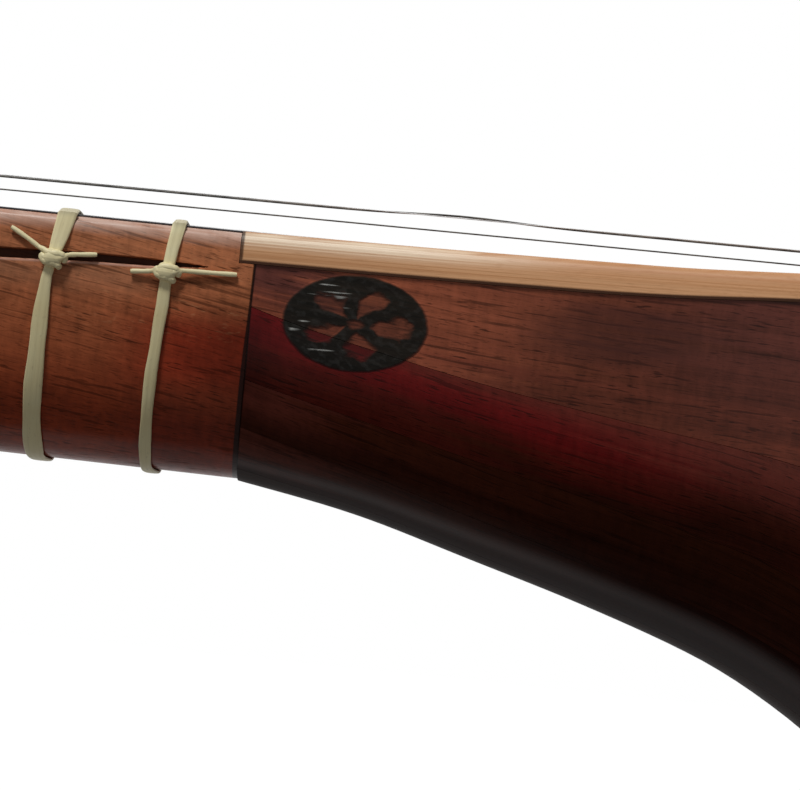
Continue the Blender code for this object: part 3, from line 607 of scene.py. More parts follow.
def neck_finish(name, seed):
    finish = Finish(name, Specular_IOR_Level=0.04, Coat_IOR=1.4, Coat_Roughness=0.22)
    drop, s, y = drop_of(finish)
    tone, streak, fibre, pore, figure = grain(finish, finish.place(), seed, lean=-10.0)
    # Painted glints: small pale flecks that stand in for light caught by the fibres.
    glint_fleck = finish.noise(finish.place(), (700.0, 2600.0, 2600.0), 2.0, 0.5).eased(0.60, 0.72)
    glint_fleck = glint_fleck * drop.eased(0.0150, 0.0105)
    # Partly painted shade: the colour darkens from the upper edge down and near the bowl, partly the wood's
    # own redder tone.
    upper = finish.mix(drop.eased(0.0015, 0.013), (0.475, 0.174, 0.080), (0.405, 0.120, 0.050))
    low = finish.mix(s.eased(-0.016, -0.008), (0.240, 0.036, 0.012), (0.185, 0.026, 0.011))
    base = finish.mix(drop.eased(0.009, 0.025), upper, low)
    redder = s.eased(-0.018, -0.006) * drop.eased(0.0085, 0.0135) * drop.eased(0.022, 0.017)
    base = finish.mix(redder, base, (0.280, 0.036, 0.015))
    light = varied(((tone, 0.8), (streak, 1.1), (fibre, 0.50), (figure, 1.00)))
    base = shaded(finish, base, light)
    # Painted highlight: a paler band just under the groove, where its lower edge catches the light.
    below_groove_highlight = drop.eased(0.0052, 0.0064) * drop.eased(0.0105, 0.0070) * s.eased(-0.008, -0.014)
    base = finish.mix(below_groove_highlight * 0.22, base, (0.640, 0.330, 0.190))
    base = finish.mix(glint_fleck * (s.eased(-0.030, -0.008) * 0.25 + 0.22), base, (0.540, 0.230, 0.110))
    base = finish.mix(pore * 0.72, base, (0.030, 0.007, 0.003))
    # Painted sheen: the rounded upper edges are paled with streaks, standing in for light reflected there.
    shoulder_sheen = drop.eased(0.0027, 0.0008) * (streak * 2.4 + figure * 0.4 - 0.70).least(1.0)
    base = finish.mix(shoulder_sheen.most(0.0) * 0.90, base, (0.680, 0.490, 0.410))
    base = joint_shade(finish, base, drop, s)
    base = finish.mix(joint_line(finish, drop, s) * 0.94, base, (0.006, 0.002, 0.0015))
    groove, lip_highlight, angle = finish.mark("groove").parts()
    # Painted highlight along the groove's lower edge.
    base = finish.mix(lip_highlight * (tone + 0.25), base, (0.780, 0.480, 0.390))
    # Painted shade: the groove's hollow is darkened almost to black.
    base = finish.mix(groove * 0.92, base, (0.016, 0.003, 0.0015))
    finish.feed("Base Color", base)
    finish.feed("Roughness", 0.30 + fibre * 0.10 + pore * 0.25)
    below = gloss_band(angle) * (0.8 - s.eased(-0.016, -0.006) * 0.28)
    finish.feed("Coat Weight", below + drop.eased(0.0020, 0.0008) * 0.45 + 0.03)
    finish.feed("Normal", finish.bump(fibre * 0.25 + streak * 0.5 - pore, 0.00003, 0.6))
    return finish.material


def head_finish():
    finish = Finish("head_wood", Specular_IOR_Level=0.22)
    tone, streak, fibre, pore, figure = grain(finish, finish.place(), 3.1, lean=3.0)
    base = finish.mix(streak.eased(0.3, 0.7), (0.200, 0.050, 0.020), (0.290, 0.090, 0.040))
    base = shaded(finish, base, varied(((tone, 0.7), (fibre, 0.4), (figure, 0.5))))
    base = finish.mix(pore * 0.8, base, (0.030, 0.008, 0.004))
    finish.feed("Base Color", base)
    finish.feed("Roughness", 0.30 + fibre * 0.10 + pore * 0.25)
    finish.feed("Normal", finish.bump(fibre * 0.25 + streak * 0.5 - pore, 0.00003, 0.6))
    return finish.material


def mark_masks(finish, s, drop):
    """The burnt ornament: a hand-cut oval with a flower of five bare petals and a bare eye.

    With r and turn the oval's own radius and angle, unsteadied by noise, a petal is where
    ((r - 0.47) / 0.25)^2 + 1.1 (1 + cos(5 turn)) is under 1. Its left edges carry painted glints.
    """
    across = (s - MARK_AT[0]) / MARK_HALF[0]
    down = (drop + MARK_AT[1]) / MARK_HALF[1]
    place = finish.vector(across, down, 0.0)
    shake = finish.noise(place, (2.2, 2.2, 2.2), 2.0)
    wobble = finish.noise(place, (3.1, 3.1, 3.1), 3.0)
    r = (across * across + down * down) ** 0.5
    turn = finish.node("ShaderNodeMath", {0: down, 1: across}, operation="ARCTAN2")
    wave = finish.node("ShaderNodeMath", {0: turn * 5.0 + shake * 5.0}, operation="COSINE")
    oval = (r + wobble * 0.05).eased(1.05, 0.99)
    length = (r + wobble * 0.5 - 0.72) / 0.25
    petals = length * length + (wave + 1.0) * 1.1
    bare = petals.eased(1.80, 0.50)
    eye = (r + wobble * 0.2).eased(0.24, 0.14)
    stroke = finish.noise(finish.turned(place, 12.0), (1.2, 11.0, 1.0), 1.0).eased(0.62, 0.70)
    rim = petals.eased(4.2, 3.2) * petals.eased(0.9, 1.6)
    painted_glint = stroke * rim * across.eased(-0.05, -0.20) * r.eased(0.95, 0.88)
    return oval, 1.0 - bare.most(eye), painted_glint


def stave_finish(name, seed, start, warm, cool, low, low_start=None, pale_to=(0.020, 0.065),
                 fade=(0.35, 1.0), later=0.0, upper=None, marked=False):
    """Bowl wood: start's colour at the neck, then warm, then cool.

    It turns to low by its lower seam, and to low_start there near the neck: partly the wood's own colour and
    partly painted shade, as the side turns down and away from the light. By the bend that turn comes later in
    the stave's width. Past the bend, upper tints it by its upper seam.
    """
    finish = Finish(name, Specular_IOR_Level=0.0, Coat_IOR=1.4, Coat_Roughness=0.20)
    drop, s, y = drop_of(finish)
    along, across, share = finish.mark("grain").parts()
    angle = finish.mark("turn").parts()[0]
    place = finish.vector(along, across, 0.0)
    tone, streak, fibre, pore, figure = grain(finish, place, seed, lean=0.0, fine=0.8)
    along_s = s + streak * 0.04 - 0.02
    base = finish.mix(along_s.eased(0.004, 0.018), start, warm)
    base = finish.mix(along_s.eased(*pale_to), base, cool)
    # Partly painted shade: the wood darkens towards the stave's lower seam, partly its own colour.
    lower = finish.mix(along_s.eased(0.017, 0.040), low_start or low, low)
    delay = s.eased(0.029, 0.042) * s.eased(0.064, 0.050) * later + 0.25
    base = finish.mix((share + streak * 0.5 - delay).eased(*fade), base, lower)
    if upper:
        near_seam = (share + streak * 0.35).eased(0.46, 0.12) * s.eased(0.015, 0.024)
        base = finish.mix(near_seam * 0.65, base, upper)
    band = finish.noise(place, (9.0, 330.0, 330.0), 3.0, 0.55)
    light = varied(((tone, 0.9), (streak, 1.5), (fibre, 0.55), (figure, 0.75), (band, 0.9)))
    base = shaded(finish, base, light.most(0.1))
    base = finish.mix(pore * 0.70, base, (0.010, 0.003, 0.002))
    # A dark glue line under the board's edge, and painted shade under the board's overhang.
    glue_and_shade_under_board = (drop - rim_level(s)).eased(0.0007, 0.0002) * s.eased(0.14, 0.12)
    base = finish.mix(glue_and_shade_under_board * 0.70, base, (0.010, 0.002, 0.001))
    base = joint_shade(finish, base, drop, s)
    base = finish.mix(joint_line(finish, drop, s) * 0.94, base, (0.006, 0.002, 0.0015))
    rough = 0.29 + fibre * 0.10 + pore * 0.25
    height = fibre * 0.2 + streak * 0.4 - pore
    upper_gloss = angle.eased(0.42, 0.22) * (s.eased(0.045, 0.062) * 0.10 + 0.14)
    upper_gloss = upper_gloss + y.eased(-0.012, 0.030) * 0.30
    spread = angle.eased(0.58, 0.74) * angle.eased(0.80, 0.74) * s.eased(0.060, 0.020)
    varnish = gloss_band(angle) * 0.85 + spread * 0.16 + upper_gloss + 0.015
    if marked:
        near = y.eased(0.001, -0.001)
        oval, dark, painted_glint = mark_masks(finish, s, drop)
        oval = oval * near
        burnt = finish.mix(streak.eased(0.35, 0.65), (0.0055, 0.0060, 0.0045), (0.012, 0.012, 0.009))
        heart = (((s - 0.045) / 0.011) ** 2.0 + ((drop - 0.0088) / 0.0036) ** 2.0).eased(1.6, 0.0)
        base = finish.mix(heart * near * (streak + 0.15), base, (0.060, 0.020, 0.016))
        base = finish.mix(oval * 0.45, base, (0.030, 0.016, 0.014))
        base = finish.mix(oval * dark * 0.97, base, burnt)
        # Painted glints: pale strokes on the burnt ornament's left edges.
        base = finish.mix(oval * painted_glint * 0.90, base, (0.480, 0.490, 0.470))
        worked = finish.noise(place, (900.0, 1500.0, 900.0), 2.0)
        height = height * (1.0 - oval * 0.5) + dark * oval * (worked * 9.0 + 6.0)
        varnish = varnish.most(oval * dark * worked.eased(0.30, 0.75) * 0.38)
    finish.feed("Base Color", base)
    finish.feed("Roughness", rough)
    finish.feed("Coat Weight", varnish)
    finish.feed("Normal", finish.bump(height, 0.00003, 0.6))
    return finish.material


def board_finish():
    """Straight-grained pale wood: narrow rings along x, cut across the board's edge."""
    finish = Finish("board_wood", Specular_IOR_Level=0.10, Coat_IOR=1.4, Coat_Roughness=0.32)
    drop, s, y = drop_of(finish)
    place = finish.place()
    tone = finish.noise(place, (14.0, 60.0, 60.0), 3.0)
    face = finish.noise(place, (5.0, 1000.0, 0.0), 3.0, 0.55)
    side = finish.noise(place, (5.0, 60.0, 5400.0), 3.0, 0.6)
    rings = finish.blend(drop.eased(0.0002, 0.0008), face, side)
    fine = finish.noise(place, (70.0, 2600.0, 6500.0), 2.0, 0.6)
    # Painted highlight: near the tip the rounded upper edge is much paler, standing in for the light it
    # catches; further on the top takes a darker tan.
    top = finish.mix(s.eased(0.014, 0.044), (0.980, 0.800, 0.600), (0.610, 0.320, 0.162))
    side = finish.mix(s.eased(0.018, 0.050), (0.780, 0.430, 0.225), (0.820, 0.450, 0.235))
    base = finish.mix(drop.eased(0.0010, 0.0026), top, side)
    base = finish.mix(drop.eased(0.00035, 0.0) * s.eased(0.060, 0.045), base, (0.640, 0.370, 0.205))
    base = finish.mix(rings.eased(0.44, 0.66) * 0.62, base, (0.520, 0.225, 0.090))
    base = finish.mix(fine.eased(0.50, 0.75) * 0.30, base, (0.420, 0.180, 0.075))
    base = shaded(finish, base, varied(((tone, 0.35),)))
    # A dark glue line and painted shade along the board's lower edge; the line at the tip is a dark joint.
    edge = (drop - rim_level(s)).eased(-0.00052, -0.00024) * s.eased(0.14, 0.12)
    edge = edge.most((drop - BOARD_THICKNESS).eased(-0.00048, -0.00020) * s.eased(0.12, 0.14))
    tip = (s + TIP_FORWARD).eased(0.00050, 0.00022) * 0.9
    base = finish.mix(edge.most(tip) * 0.95, base, (0.020, 0.0025, 0.001))
    finish.feed("Base Color", base)
    finish.feed("Roughness", 0.36 + fine * 0.14)
    sheen = s.eased(0.055, 0.020) * drop.eased(0.0024, 0.0014) * drop.eased(0.0, 0.0004)
    finish.feed("Coat Weight", sheen * 0.16 + 0.02)
    finish.feed("Normal", finish.bump(rings * 0.8 + fine * 0.5, 0.00004, 0.5))
    return finish.material


def facing_finish():
    finish = Finish("facing_wood", Specular_IOR_Level=0.35)
    tone, streak, fibre, pore, figure = grain(finish, finish.place(), 7.7)
    base = finish.mix(streak.eased(0.3, 0.7), (0.026, 0.025, 0.030), (0.055, 0.050, 0.054))
    base = finish.mix(pore * 0.6, base, (0.004, 0.003, 0.003))
    finish.feed("Base Color", base)
    finish.feed("Roughness", 0.38 + fibre * 0.15)
    finish.feed("Normal", finish.bump(fibre * 0.5 - pore, 0.00003, 0.5))
    return finish.material


def plain_wood(name, dark, pale, roughness, level, seed):
    """Turned or sawn wood without a photographed counterpart."""
    finish = Finish(name, Specular_IOR_Level=level)
    tone, streak, fibre, pore, figure = grain(finish, finish.place(), seed)
    base = finish.mix(streak.eased(0.28, 0.72), dark, pale)
    base = shaded(finish, base, 0.7 + tone * 0.6)
    base = finish.mix(pore * 0.5, base, tuple(c * 0.25 for c in dark))
    finish.feed("Base Color", base)
    finish.feed("Roughness", roughness + fibre * 0.12)
    finish.feed("Normal", finish.bump(streak * 0.6 + fibre * 0.3 - pore, 0.00003, 0.5))
    return finish.material


def gut_finish():
    """Dried gut: pale, slightly translucent-looking, with the turns faint along the band."""
    finish = Finish("gut_band", Specular_IOR_Level=0.45)
    drop, s, y = drop_of(finish)
    place = finish.mark("grain")
    along, across, share = place.parts()
    cloud = finish.noise(place, (260.0, 260.0, 260.0), 3.0)
    thread = finish.noise(place, (90.0, 5200.0, 2400.0), 2.0, 0.6)
    speck = finish.noise(place, (900.0, 1800.0, 1800.0), 2.0)
    fold = finish.node("ShaderNodeMath", {0: across * (2 * math.pi / GUT_TURN)},
                       operation="COSINE")
    base = finish.mix(cloud.eased(0.30, 0.70), (0.790, 0.690, 0.400), (0.850, 0.780, 0.485))
    # Painted shade: the band darkens lower down the neck's side.
    base = finish.mix(drop.eased(0.0035, 0.0100) * 0.40, base, (0.480, 0.400, 0.195))
    base = finish.mix(thread.eased(0.48, 0.78) * 0.28, base, (0.420, 0.350, 0.180))
    base = finish.mix(speck.eased(0.62, 0.74) * 0.25, base, (0.300, 0.230, 0.120))
    over = drop.eased(0.0008, -0.0002)
    base = finish.mix(over * 0.50, base, (0.330, 0.290, 0.190))
    finish.feed("Base Color", base)
    finish.feed("Roughness", 0.40 + thread * 0.18)
    height = thread * 0.4 + cloud * 0.5 - fold * 0.16
    finish.feed("Normal", finish.bump(height, 0.00005, 0.7))
    return finish.material


def bone_finish():
    finish = Finish("bone", Specular_IOR_Level=0.5)
    cloud = finish.noise(finish.place(), (300.0, 300.0, 300.0), 3.0)
    line = finish.noise(finish.place(), (250.0, 2500.0, 250.0), 2.0)
    base = finish.mix(cloud.eased(0.3, 0.7), (0.560, 0.470, 0.330), (0.700, 0.640, 0.500))
    base = finish.mix(line.eased(0.58, 0.72) * 0.35, base, (0.360, 0.270, 0.160))
    finish.feed("Base Color", base)
    finish.feed("Roughness", 0.30 + cloud * 0.14)
    finish.feed("Normal", finish.bump(line * 0.6 + cloud * 0.4, 0.00003, 0.5))
    return finish.material


def metal_finish(name, dark, pale, roughness):
    finish = Finish(name, Metallic=0.9, Specular_IOR_Level=0.5)
    wear = finish.noise(finish.place(), (420.0, 900.0, 900.0), 3.0)
    fine = finish.noise(finish.place(), (5000.0, 5000.0, 5000.0), 2.0)
    finish.feed("Base Color", finish.mix(wear.eased(0.35, 0.65), dark, pale))
    finish.feed("Roughness", roughness + wear * 0.12)
    finish.feed("Normal", finish.bump(fine, 0.00001, 0.4))
    return finish.material


# Pieces

def grain_marks(points, along):
    """Along, across and share for a piece: its x, its y and height together, and 0."""
    return np.stack((np.broadcast_to(along, points.shape[:2]), points[..., 1], points[..., 2]), -1)


def groove_at(u, drop):
    """Share of the groove's depth at a place, and a mark for the painted highlight along its lower edge."""
    s = u - NECK_LENGTH
    middle = np.interp(s, (-0.0600, -0.0291, -0.0171, -GROOVE_STOP),
                       (0.00575, 0.00559, 0.00509, 0.00489))
    half = np.interp(s, (-0.0291, -0.0171, -0.0110), (0.00066, 0.00054, 0.00047))
    half = half * np.clip((-GROOVE_STOP - s) / (GROOVE_TAPER - 0.0015), 0.0, 1.0) ** 0.6
    off = (drop - middle) / np.maximum(half, 0.00001)
    cut = ease(1.0 - off, 0.0, 0.30) * ease(1.0 + off, 0.0, 0.14)
    lip_highlight = np.exp(-((drop - middle - half - 0.00012) / 0.00013) ** 2) * ease(half, 0.0001, 0.0005)
    return np.where(half > 0.00002, cut, 0.0), np.where(half > 0.00002, lip_highlight, 0.0)


def side_angles(size, top, drops, under):
    """Angles of a near side's columns: at given drops first, then evenly under to 90 degrees."""
    at = drop_angle(size, top, drops)
    share = np.linspace(0, 1, under + 1)[1:]
    return np.concatenate((at, at[:, -1:] + (90 - at[:, -1:]) * share), 1)


def make_neck(finish):
    """The bar: rounded upper edges, a groove on the near side, cut down under the soundboard."""
    u = np.concatenate((np.linspace(GAP / 2, NECK_LENGTH - 0.040, 60),
                        np.linspace(NECK_LENGTH - 0.0395, NECK_LENGTH - TIP_FORWARD - 0.00006, 110)))[:, None]
    size = neck_size(u)
    turn = np.linspace(0, np.pi / 2, 9)
    shoulder = WOOD_TOP + SHOULDER * (1 - np.cos(turn))
    near = np.concatenate((shoulder, np.linspace(0.0020, 0.0040, 6), np.linspace(0.0041, 0.0068, 36)))
    far = np.concatenate((shoulder, np.linspace(0.0020, 0.0068, 9)))
    angle = np.concatenate((side_angles(size, WOOD_TOP, near, 34),
                            180 - side_angles(size, WOOD_TOP, far, 34)[:, -2::-1]), 1)
    points = section(NUT_X + u, size, WOOD_TOP, angle)
    points = rounded_shoulder(points, size, WOOD_TOP, SHOULDER, SHOULDER_IN)
    cut, lip_highlight = groove_at(u, TOP_Z - points[..., 2])
    cut, lip_highlight = cut * (points[..., 1] < 0), lip_highlight * (points[..., 1] < 0)
    points[..., 1] += cut * GROOVE_DEPTH
    under = np.linspace(-TIP_FORWARD - 0.00003, NECK_SEAM - 0.00001, 4)[:, None] + NECK_LENGTH
    end = section(NUT_X + under, neck_size(under), rim_at(0.0), angle[-4:])
    points = np.concatenate((points, end))
    groove = np.zeros(points.shape)
    groove[:len(cut), :, 0] = cut
    groove[:len(cut), :, 1] = lip_highlight
    turn = np.concatenate((angle, angle[-4:]))
    groove[..., 2] = (90 - np.abs(turn - 90)) / 90
    mesh = Shape().grid(points, groove=groove).mesh("neck")
    piece("neck_bar", mesh, finish, "frame", "neck", 50)


def make_fingerboard(finish):
    """The thin facing with rounded long edges, a little narrower than the neck."""
    u = np.linspace(0.0, NECK_LENGTH - TIP_FORWARD - 0.00005, 12)[:, None]
    half = neck_size(u)[0] - SHOULDER_IN + 0.00012
    turn = np.linspace(-np.pi / 2, np.pi / 2, 9)
    edge = FACING_THICKNESS / 2
    out = np.concatenate((edge * np.cos(turn), edge * np.cos(turn[::-1])))
    rise = np.concatenate((edge * np.sin(turn), edge * np.sin(turn[::-1])))
    side = np.repeat((-1.0, 1.0), len(turn))
    y = side * (half - edge + out)
    points = np.stack(np.broadcast_arrays(NUT_X + u, y, TOP_Z - edge + rise), -1)
    mesh = Shape().grid(points).mesh("facing")
    piece("fingerboard_facing", mesh, finish, "frame", "fingerboard", 50)


def head_face(back):
    """Drop of the head's front face behind the nut; it falls back in a straight line."""
    level = NUT_LENGTH + 2 * GAP
    fall = np.maximum(np.asarray(back, float) - level, 0.0) / (HEAD_LENGTH - level)
    return 0.0011 + HEAD_DROP * fall


def head_section(back, top, inset=0.0):
    """Sections of the head, its near upper edge cut back by a slanting chamfer."""
    size = head_size(back)
    angle = np.linspace(0, 180, 97)[None, :]
    points = section(NUT_X - back, size, top, angle, inset)
    drop = TOP_Z - points[..., 2] - head_face(back)
    limit = -size[0] + HEAD_CHAMFER + inset - drop / CHAMFER_STEEPNESS
    behind = back > NUT_LENGTH + 3 * GAP
    points[..., 1] = np.where(behind, np.maximum(points[..., 1], limit), points[..., 1])
    return points


def peg_frame(name):
    """Where a peg stands: its foot on the head, as a matrix from its own axes."""
    kind, back = PEG_PLACES[name]
    if kind == "front":
        return Matrix.Translation((NUT_X - back, 0, TOP_Z - float(head_face(back))))
    side = float(side_at(head_size(back), SIDE_PEG_DROP))
    foot = Matrix.Translation((NUT_X - back, -side, TOP_Z - SIDE_PEG_DROP))
    return foot @ Matrix.Rotation(math.pi / 2, 4, "X")


def make_head(finish):
    level = NUT_LENGTH + 3 * GAP
    back = np.concatenate(((GAP / 2, level), np.linspace(level + 0.0004, HEAD_LENGTH
                                                         - HEAD_CAP_LENGTH - 0.00005, 40)))[:, None]
    mesh = Shape().grid(head_section(back, head_face(back))).mesh("head")
    drills = [(PEG_RADIUS + 0.00012, 0.08, peg_frame(name)) for name in STRING_NAMES]
    piece("head_bar", drilled(mesh, drills), finish, "frame", "head")


def make_head_cap(finish):
    """The end piece: its sections shrink along a quarter circle."""
    turn = np.linspace(0, np.pi / 2, 9)[:, None]
    back = HEAD_LENGTH - HEAD_CAP_LENGTH + HEAD_CAP_ROUNDING * np.sin(turn)
    back = np.concatenate(([[HEAD_LENGTH - HEAD_CAP_LENGTH]], back + HEAD_CAP_LENGTH
                           - HEAD_CAP_ROUNDING))
    inset = np.concatenate(([[0.0]], HEAD_CAP_ROUNDING * (1 - np.cos(turn))))
    mesh = Shape().grid(head_section(back, head_face(back) + inset, inset)).mesh("cap")
    piece("head_end_cap", mesh, finish, "frame", "head_cap")


def make_nut(finish):
    """The nut: sections of one rounded profile, lower in a slot under each string."""
    half = NUT_HALF_WIDTH - 0.0003
    steps = [np.linspace(-half, half, 40)]
    for name in STRING_NAMES:
        wide = STRING_RADIUS[name] + 0.00006
        steps.append(NUT_Y[name] + np.array((-wide - 0.00005, -wide, -wide * 0.5, 0, wide * 0.5,
                                             wide, wide + 0.00005)))
    y = np.unique(np.concatenate(steps))[:, None]
    top = np.full(y.shape, NUT_HEIGHT)
    for name in STRING_NAMES:
        wide = STRING_RADIUS[name] + 0.00006
        off = np.abs(y - NUT_Y[name]) / wide
        floor = STRING_AT_NUT[name] - STRING_RADIUS[name] * np.sqrt(np.clip(1 - off ** 2, 0, 1)) - 0.00002
        top = np.where(off <= 1.001, floor, top)
    rounding = 0.0009
    turn = np.linspace(0, np.pi / 2, 7)
    low = -0.0011
    near_x = NUT_X - NUT_LENGTH
    far_x = NUT_X - 0.00005
    x = np.concatenate(([near_x], near_x + rounding * (1 - np.cos(turn)),
                        far_x - rounding * (1 - np.cos(turn[::-1])), [far_x]))
    fall = np.concatenate(([0.0], rounding * (1 - np.sin(turn)), rounding * (1 - np.sin(turn[::-1])),
                           [0.0]))
    z = np.maximum(top - fall[None, :], low + 0.0002)
    z[:, (0, -1)] = low
    points = np.stack(np.broadcast_arrays(x[None, :], y, TOP_Z + z), -1)
    mesh = Shape().grid(points).mesh("nut")
    piece("nut_strip", mesh, finish, "frame", "nut", 40)


def make_peg(name, finish):
    """A turned peg: rings round its axis, the grip flattened to an oval."""
    inside = 0.0223 if PEG_PLACES[name][0] == "front" else 0.0206
    stand, grip = PEG_STAND, GRIP_LENGTH
    shaft = [(0.0010, -inside), (0.0026, -inside + 0.0001), (0.0029, -inside + 0.0006),
             (0.0032, -inside / 2), (PEG_RADIUS, 0.0), (PEG_RADIUS, stand - 0.0024)]
    collar = smooth_path([(PEG_RADIUS, stand - 0.0022), (0.0049, stand - 0.0018),
                          (0.0053, stand - 0.0011), (0.0049, stand - 0.0004),
                          (0.0042, stand - 0.0001), (0.0041, stand + 0.0006),
                          (0.0047, stand + 0.0011), (0.0047, stand + 0.0016),
                          (0.0043, stand + 0.0021)], 4)
    body = smooth_path([(0.0043, stand + 0.0022), (0.0056, stand + 0.0048),
                        (0.0078, stand + grip * 0.34), (GRIP_RADIUS, stand + grip * 0.50),
                        (GRIP_RADIUS * 0.93, stand + grip * 0.66), (0.0060, stand + grip * 0.82),
                        (0.0043, stand + grip * 0.88), (0.0042, stand + grip * 0.90),
                        (0.0047, stand + grip * 0.93), (0.0043, stand + grip * 0.97),
                        (0.0026, stand + grip * 0.995), (0.0008, stand + grip)], 5)
    radius, height = np.concatenate((shaft, collar, body)).T
    turn = np.linspace(0, 2 * np.pi, 48, endpoint=False)
    squeeze = 1 - (1 - GRIP_FLATNESS) * ease(height, stand + 0.0020, stand + 0.0085)
    squeeze = squeeze + (1 - squeeze) * 0.6 * ease(height, stand + grip * 0.84, stand + grip * 0.93)
    points = np.stack((radius[:, None] * np.cos(turn), radius[:, None] * np.sin(turn) * squeeze[:, None],
                       np.broadcast_to(height[:, None], (len(height), 48))), -1)
    mesh = Shape().grid(points).mesh("peg")
    mesh.transform(peg_frame(name))
    piece("tuning_" + name, mesh, finish, "peg_" + name, "peg_" + name, 45)


def make_winding(name, finish):
    """Close turns of the string round its peg: a helix, its first end tucked to the shaft."""
    radius = STRING_RADIUS[name]
    pitch = 2.08 * radius
    loops = int(0.0034 / pitch)
    t = np.linspace(0, loops, loops * 28 + 1)
    out = PEG_RADIUS + radius * np.where(t > loops - 0.25, 0.6, 1.02)
    path = np.stack((out * np.cos(2 * np.pi * t), out * np.sin(2 * np.pi * t),
                     WINDING_START + pitch * t), -1)
    mesh = Shape().grid(tube(path, radius, 8)).mesh("winding")
    mesh.transform(peg_frame(name))
    piece("coil_" + name, mesh, finish, "peg_" + name, "winding_" + name, 50)


def string_at(name, u):
    """A string's run between nut and bridge; the bass string has one slight old bend."""
    share = u / SCALE_LENGTH
    y = NUT_Y[name] + (BRIDGE_Y[name] - NUT_Y[name]) * share
    at_nut, at_bridge = STRING_AT_NUT[name], STRING_AT_BRIDGE[name]
    height = at_nut + (at_bridge - at_nut) * share
    if name == "bass":
        height = height + KINK_RISE * np.exp(-((u - NECK_LENGTH - KINK_AT) / KINK_REACH) ** 2)
    return np.stack(np.broadcast_arrays(NUT_X + u, y, TOP_Z + height), -1)


def make_string(name, finish):
    """From beside the winding over nut and bridge into the holder's bore.

    It bends down only past the room that the bridge can be shifted in.
    """
    reach = WINDING_START - 2.1 * STRING_RADIUS[name]
    out = PEG_RADIUS + STRING_RADIUS[name] + 0.00002
    front = PEG_PLACES[name][0] == "front"
    local = (0.0, out if name == "treble" else -out, reach) if front else (0.0, -out, reach)
    if front:
        start = np.array(peg_frame(name) @ Matrix.Translation(local).to_translation())
    else:
        foot = peg_frame(name).to_translation()
        start = np.array((foot.x, foot.y - reach, foot.z + out))
    first = string_at(name, np.array([0.0]))[0]
    before = first - np.array((NUT_LENGTH, 0.0, 0.0))
    over = string_at(name, np.linspace(0.0002, SCALE_LENGTH + BRIDGE_ROOM, 240))
    end = np.array((TAIL_X - HOLDER_REACH + HOLDER_BORE_DEPTH - GAP, BRIDGE_Y[name] * HOLDER_SPREAD,
                    TOP_Z + STRING_AT_HOLDER))
    mouth = end - np.array((HOLDER_BORE_DEPTH, 0.0, 0.0))
    path = np.concatenate(([start, before - (before - start) * 0.01, before, first], over,
                           [mouth, end]))
    mesh = Shape().grid(tube(path, STRING_RADIUS[name], 10)).mesh("string")
    piece("wire_" + name, mesh, finish, "frame", "string_" + name, 60)


def board_outline(inset):
    """The soundboard's edge as (s, y), from the near side of the tip round to the far side."""
    inset = np.asarray(inset, float)[:, None]
    flare = (BELLY_AT + TIP_FORWARD) * np.linspace(0, 1, 90) ** 1.15 - TIP_FORWARD
    first_s = np.broadcast_to(flare, (len(inset), 90))
    first_y = -(bowl_size(np.maximum(flare, 0.0))[0] - inset)
    turn = np.linspace(0, np.pi / 2, 70)[1:]
    last_s = BELLY_AT + (BOWL_LENGTH - BELLY_AT - inset) * np.sin(turn) ** (2 / TAIL_POWER)
    last_y = -(BOWL_HALF_WIDTH - inset) * np.maximum(np.cos(turn), 0.0) ** (2 / TAIL_POWER)
    s = np.concatenate((first_s, last_s), 1)
    y = np.concatenate((first_y, last_y), 1)
    return np.concatenate((s, s[:, -2::-1]), 1), np.concatenate((y, -y[:, -2::-1]), 1)


def sound_holes():
    """Middles of the small holes: a ringed one and a group on each side."""
    places = [(ROSE_AT, 0.0)]
    for i in range(ROSE_HOLES):
        turn = 2 * math.pi * i / ROSE_HOLES
        places.append((ROSE_AT + ROSE_RADIUS * math.cos(turn), ROSE_RADIUS * math.sin(turn)))
    for side in (-1, 1):
        for i in range(SIDE_ROSE_HOLES):
            turn = 2 * math.pi * i / SIDE_ROSE_HOLES
            places.append((SIDE_ROSE_AT + SIDE_ROSE_RADIUS * math.cos(turn),
                           side * (SIDE_ROSE_OUT + SIDE_ROSE_RADIUS * math.sin(turn))))
    return places


def make_soundboard(finish):
    """Rings of the outline up the edge, drawn in along a quarter circle to the flat top."""
    turn = np.linspace(0, np.pi / 2, 13)
    inset = np.concatenate(([0.0029, 0.00012], BOARD_EDGE * (1 - np.cos(turn))))
    drop = np.concatenate(([BOARD_THICKNESS] * 2, BOARD_ROUNDING * (1 - np.sin(turn))))
    s, y = board_outline(inset)
    drop = drop[:, None] - board_rise(s)
    drop[1] = rim_at(s[1]) - GLUE_LINE
    points = np.stack((TIP_X + s, y, TOP_Z - drop), -1)
    mesh = Shape().grid(points).mesh("board")
    drills = [(HOLE_RADIUS, BOARD_THICKNESS * 3, Matrix.Translation((TIP_X + at, out, TOP_Z)))
              for at, out in sound_holes()]
    piece("soundboard_plate", drilled(mesh, drills), finish, "frame", "soundboard", 40)


def seam_angles(index, s):
    """A seam's angle along the bowl: joint's + (belly's - joint's) * (1 - e^(-s / twist))."""
    if index > STAVE_COUNT / 2:
        return 180.0 - seam_angles(STAVE_COUNT - index, s)
    step = (180 - 2 * FIRST_BELLY_SEAM) / (STAVE_COUNT - 2)
    belly = 0.0 if index == 0 else FIRST_BELLY_SEAM + step * (index - 1)
    joint = 0.0 if index == 0 else JOINT_SEAMS[index - 1]
    return joint + (belly - joint) * (1 - np.exp(-s / TWIST_LENGTH))


def bowl_stations():
    """Places along the bowl, close together by the neck and round the tail."""
    flare = NECK_SEAM + 0.00002 + (BELLY_AT - NECK_SEAM) * np.linspace(0, 1, 90) ** 1.1
    end = math.asin((1 - CAP_THICKNESS / (BOWL_LENGTH - BELLY_AT)) ** (TAIL_POWER / 2))
    closing = BELLY_AT + (BOWL_LENGTH - BELLY_AT) * np.sin(np.linspace(0, end, 50)[1:]) ** (2 / TAIL_POWER)
    return np.concatenate((flare, closing))


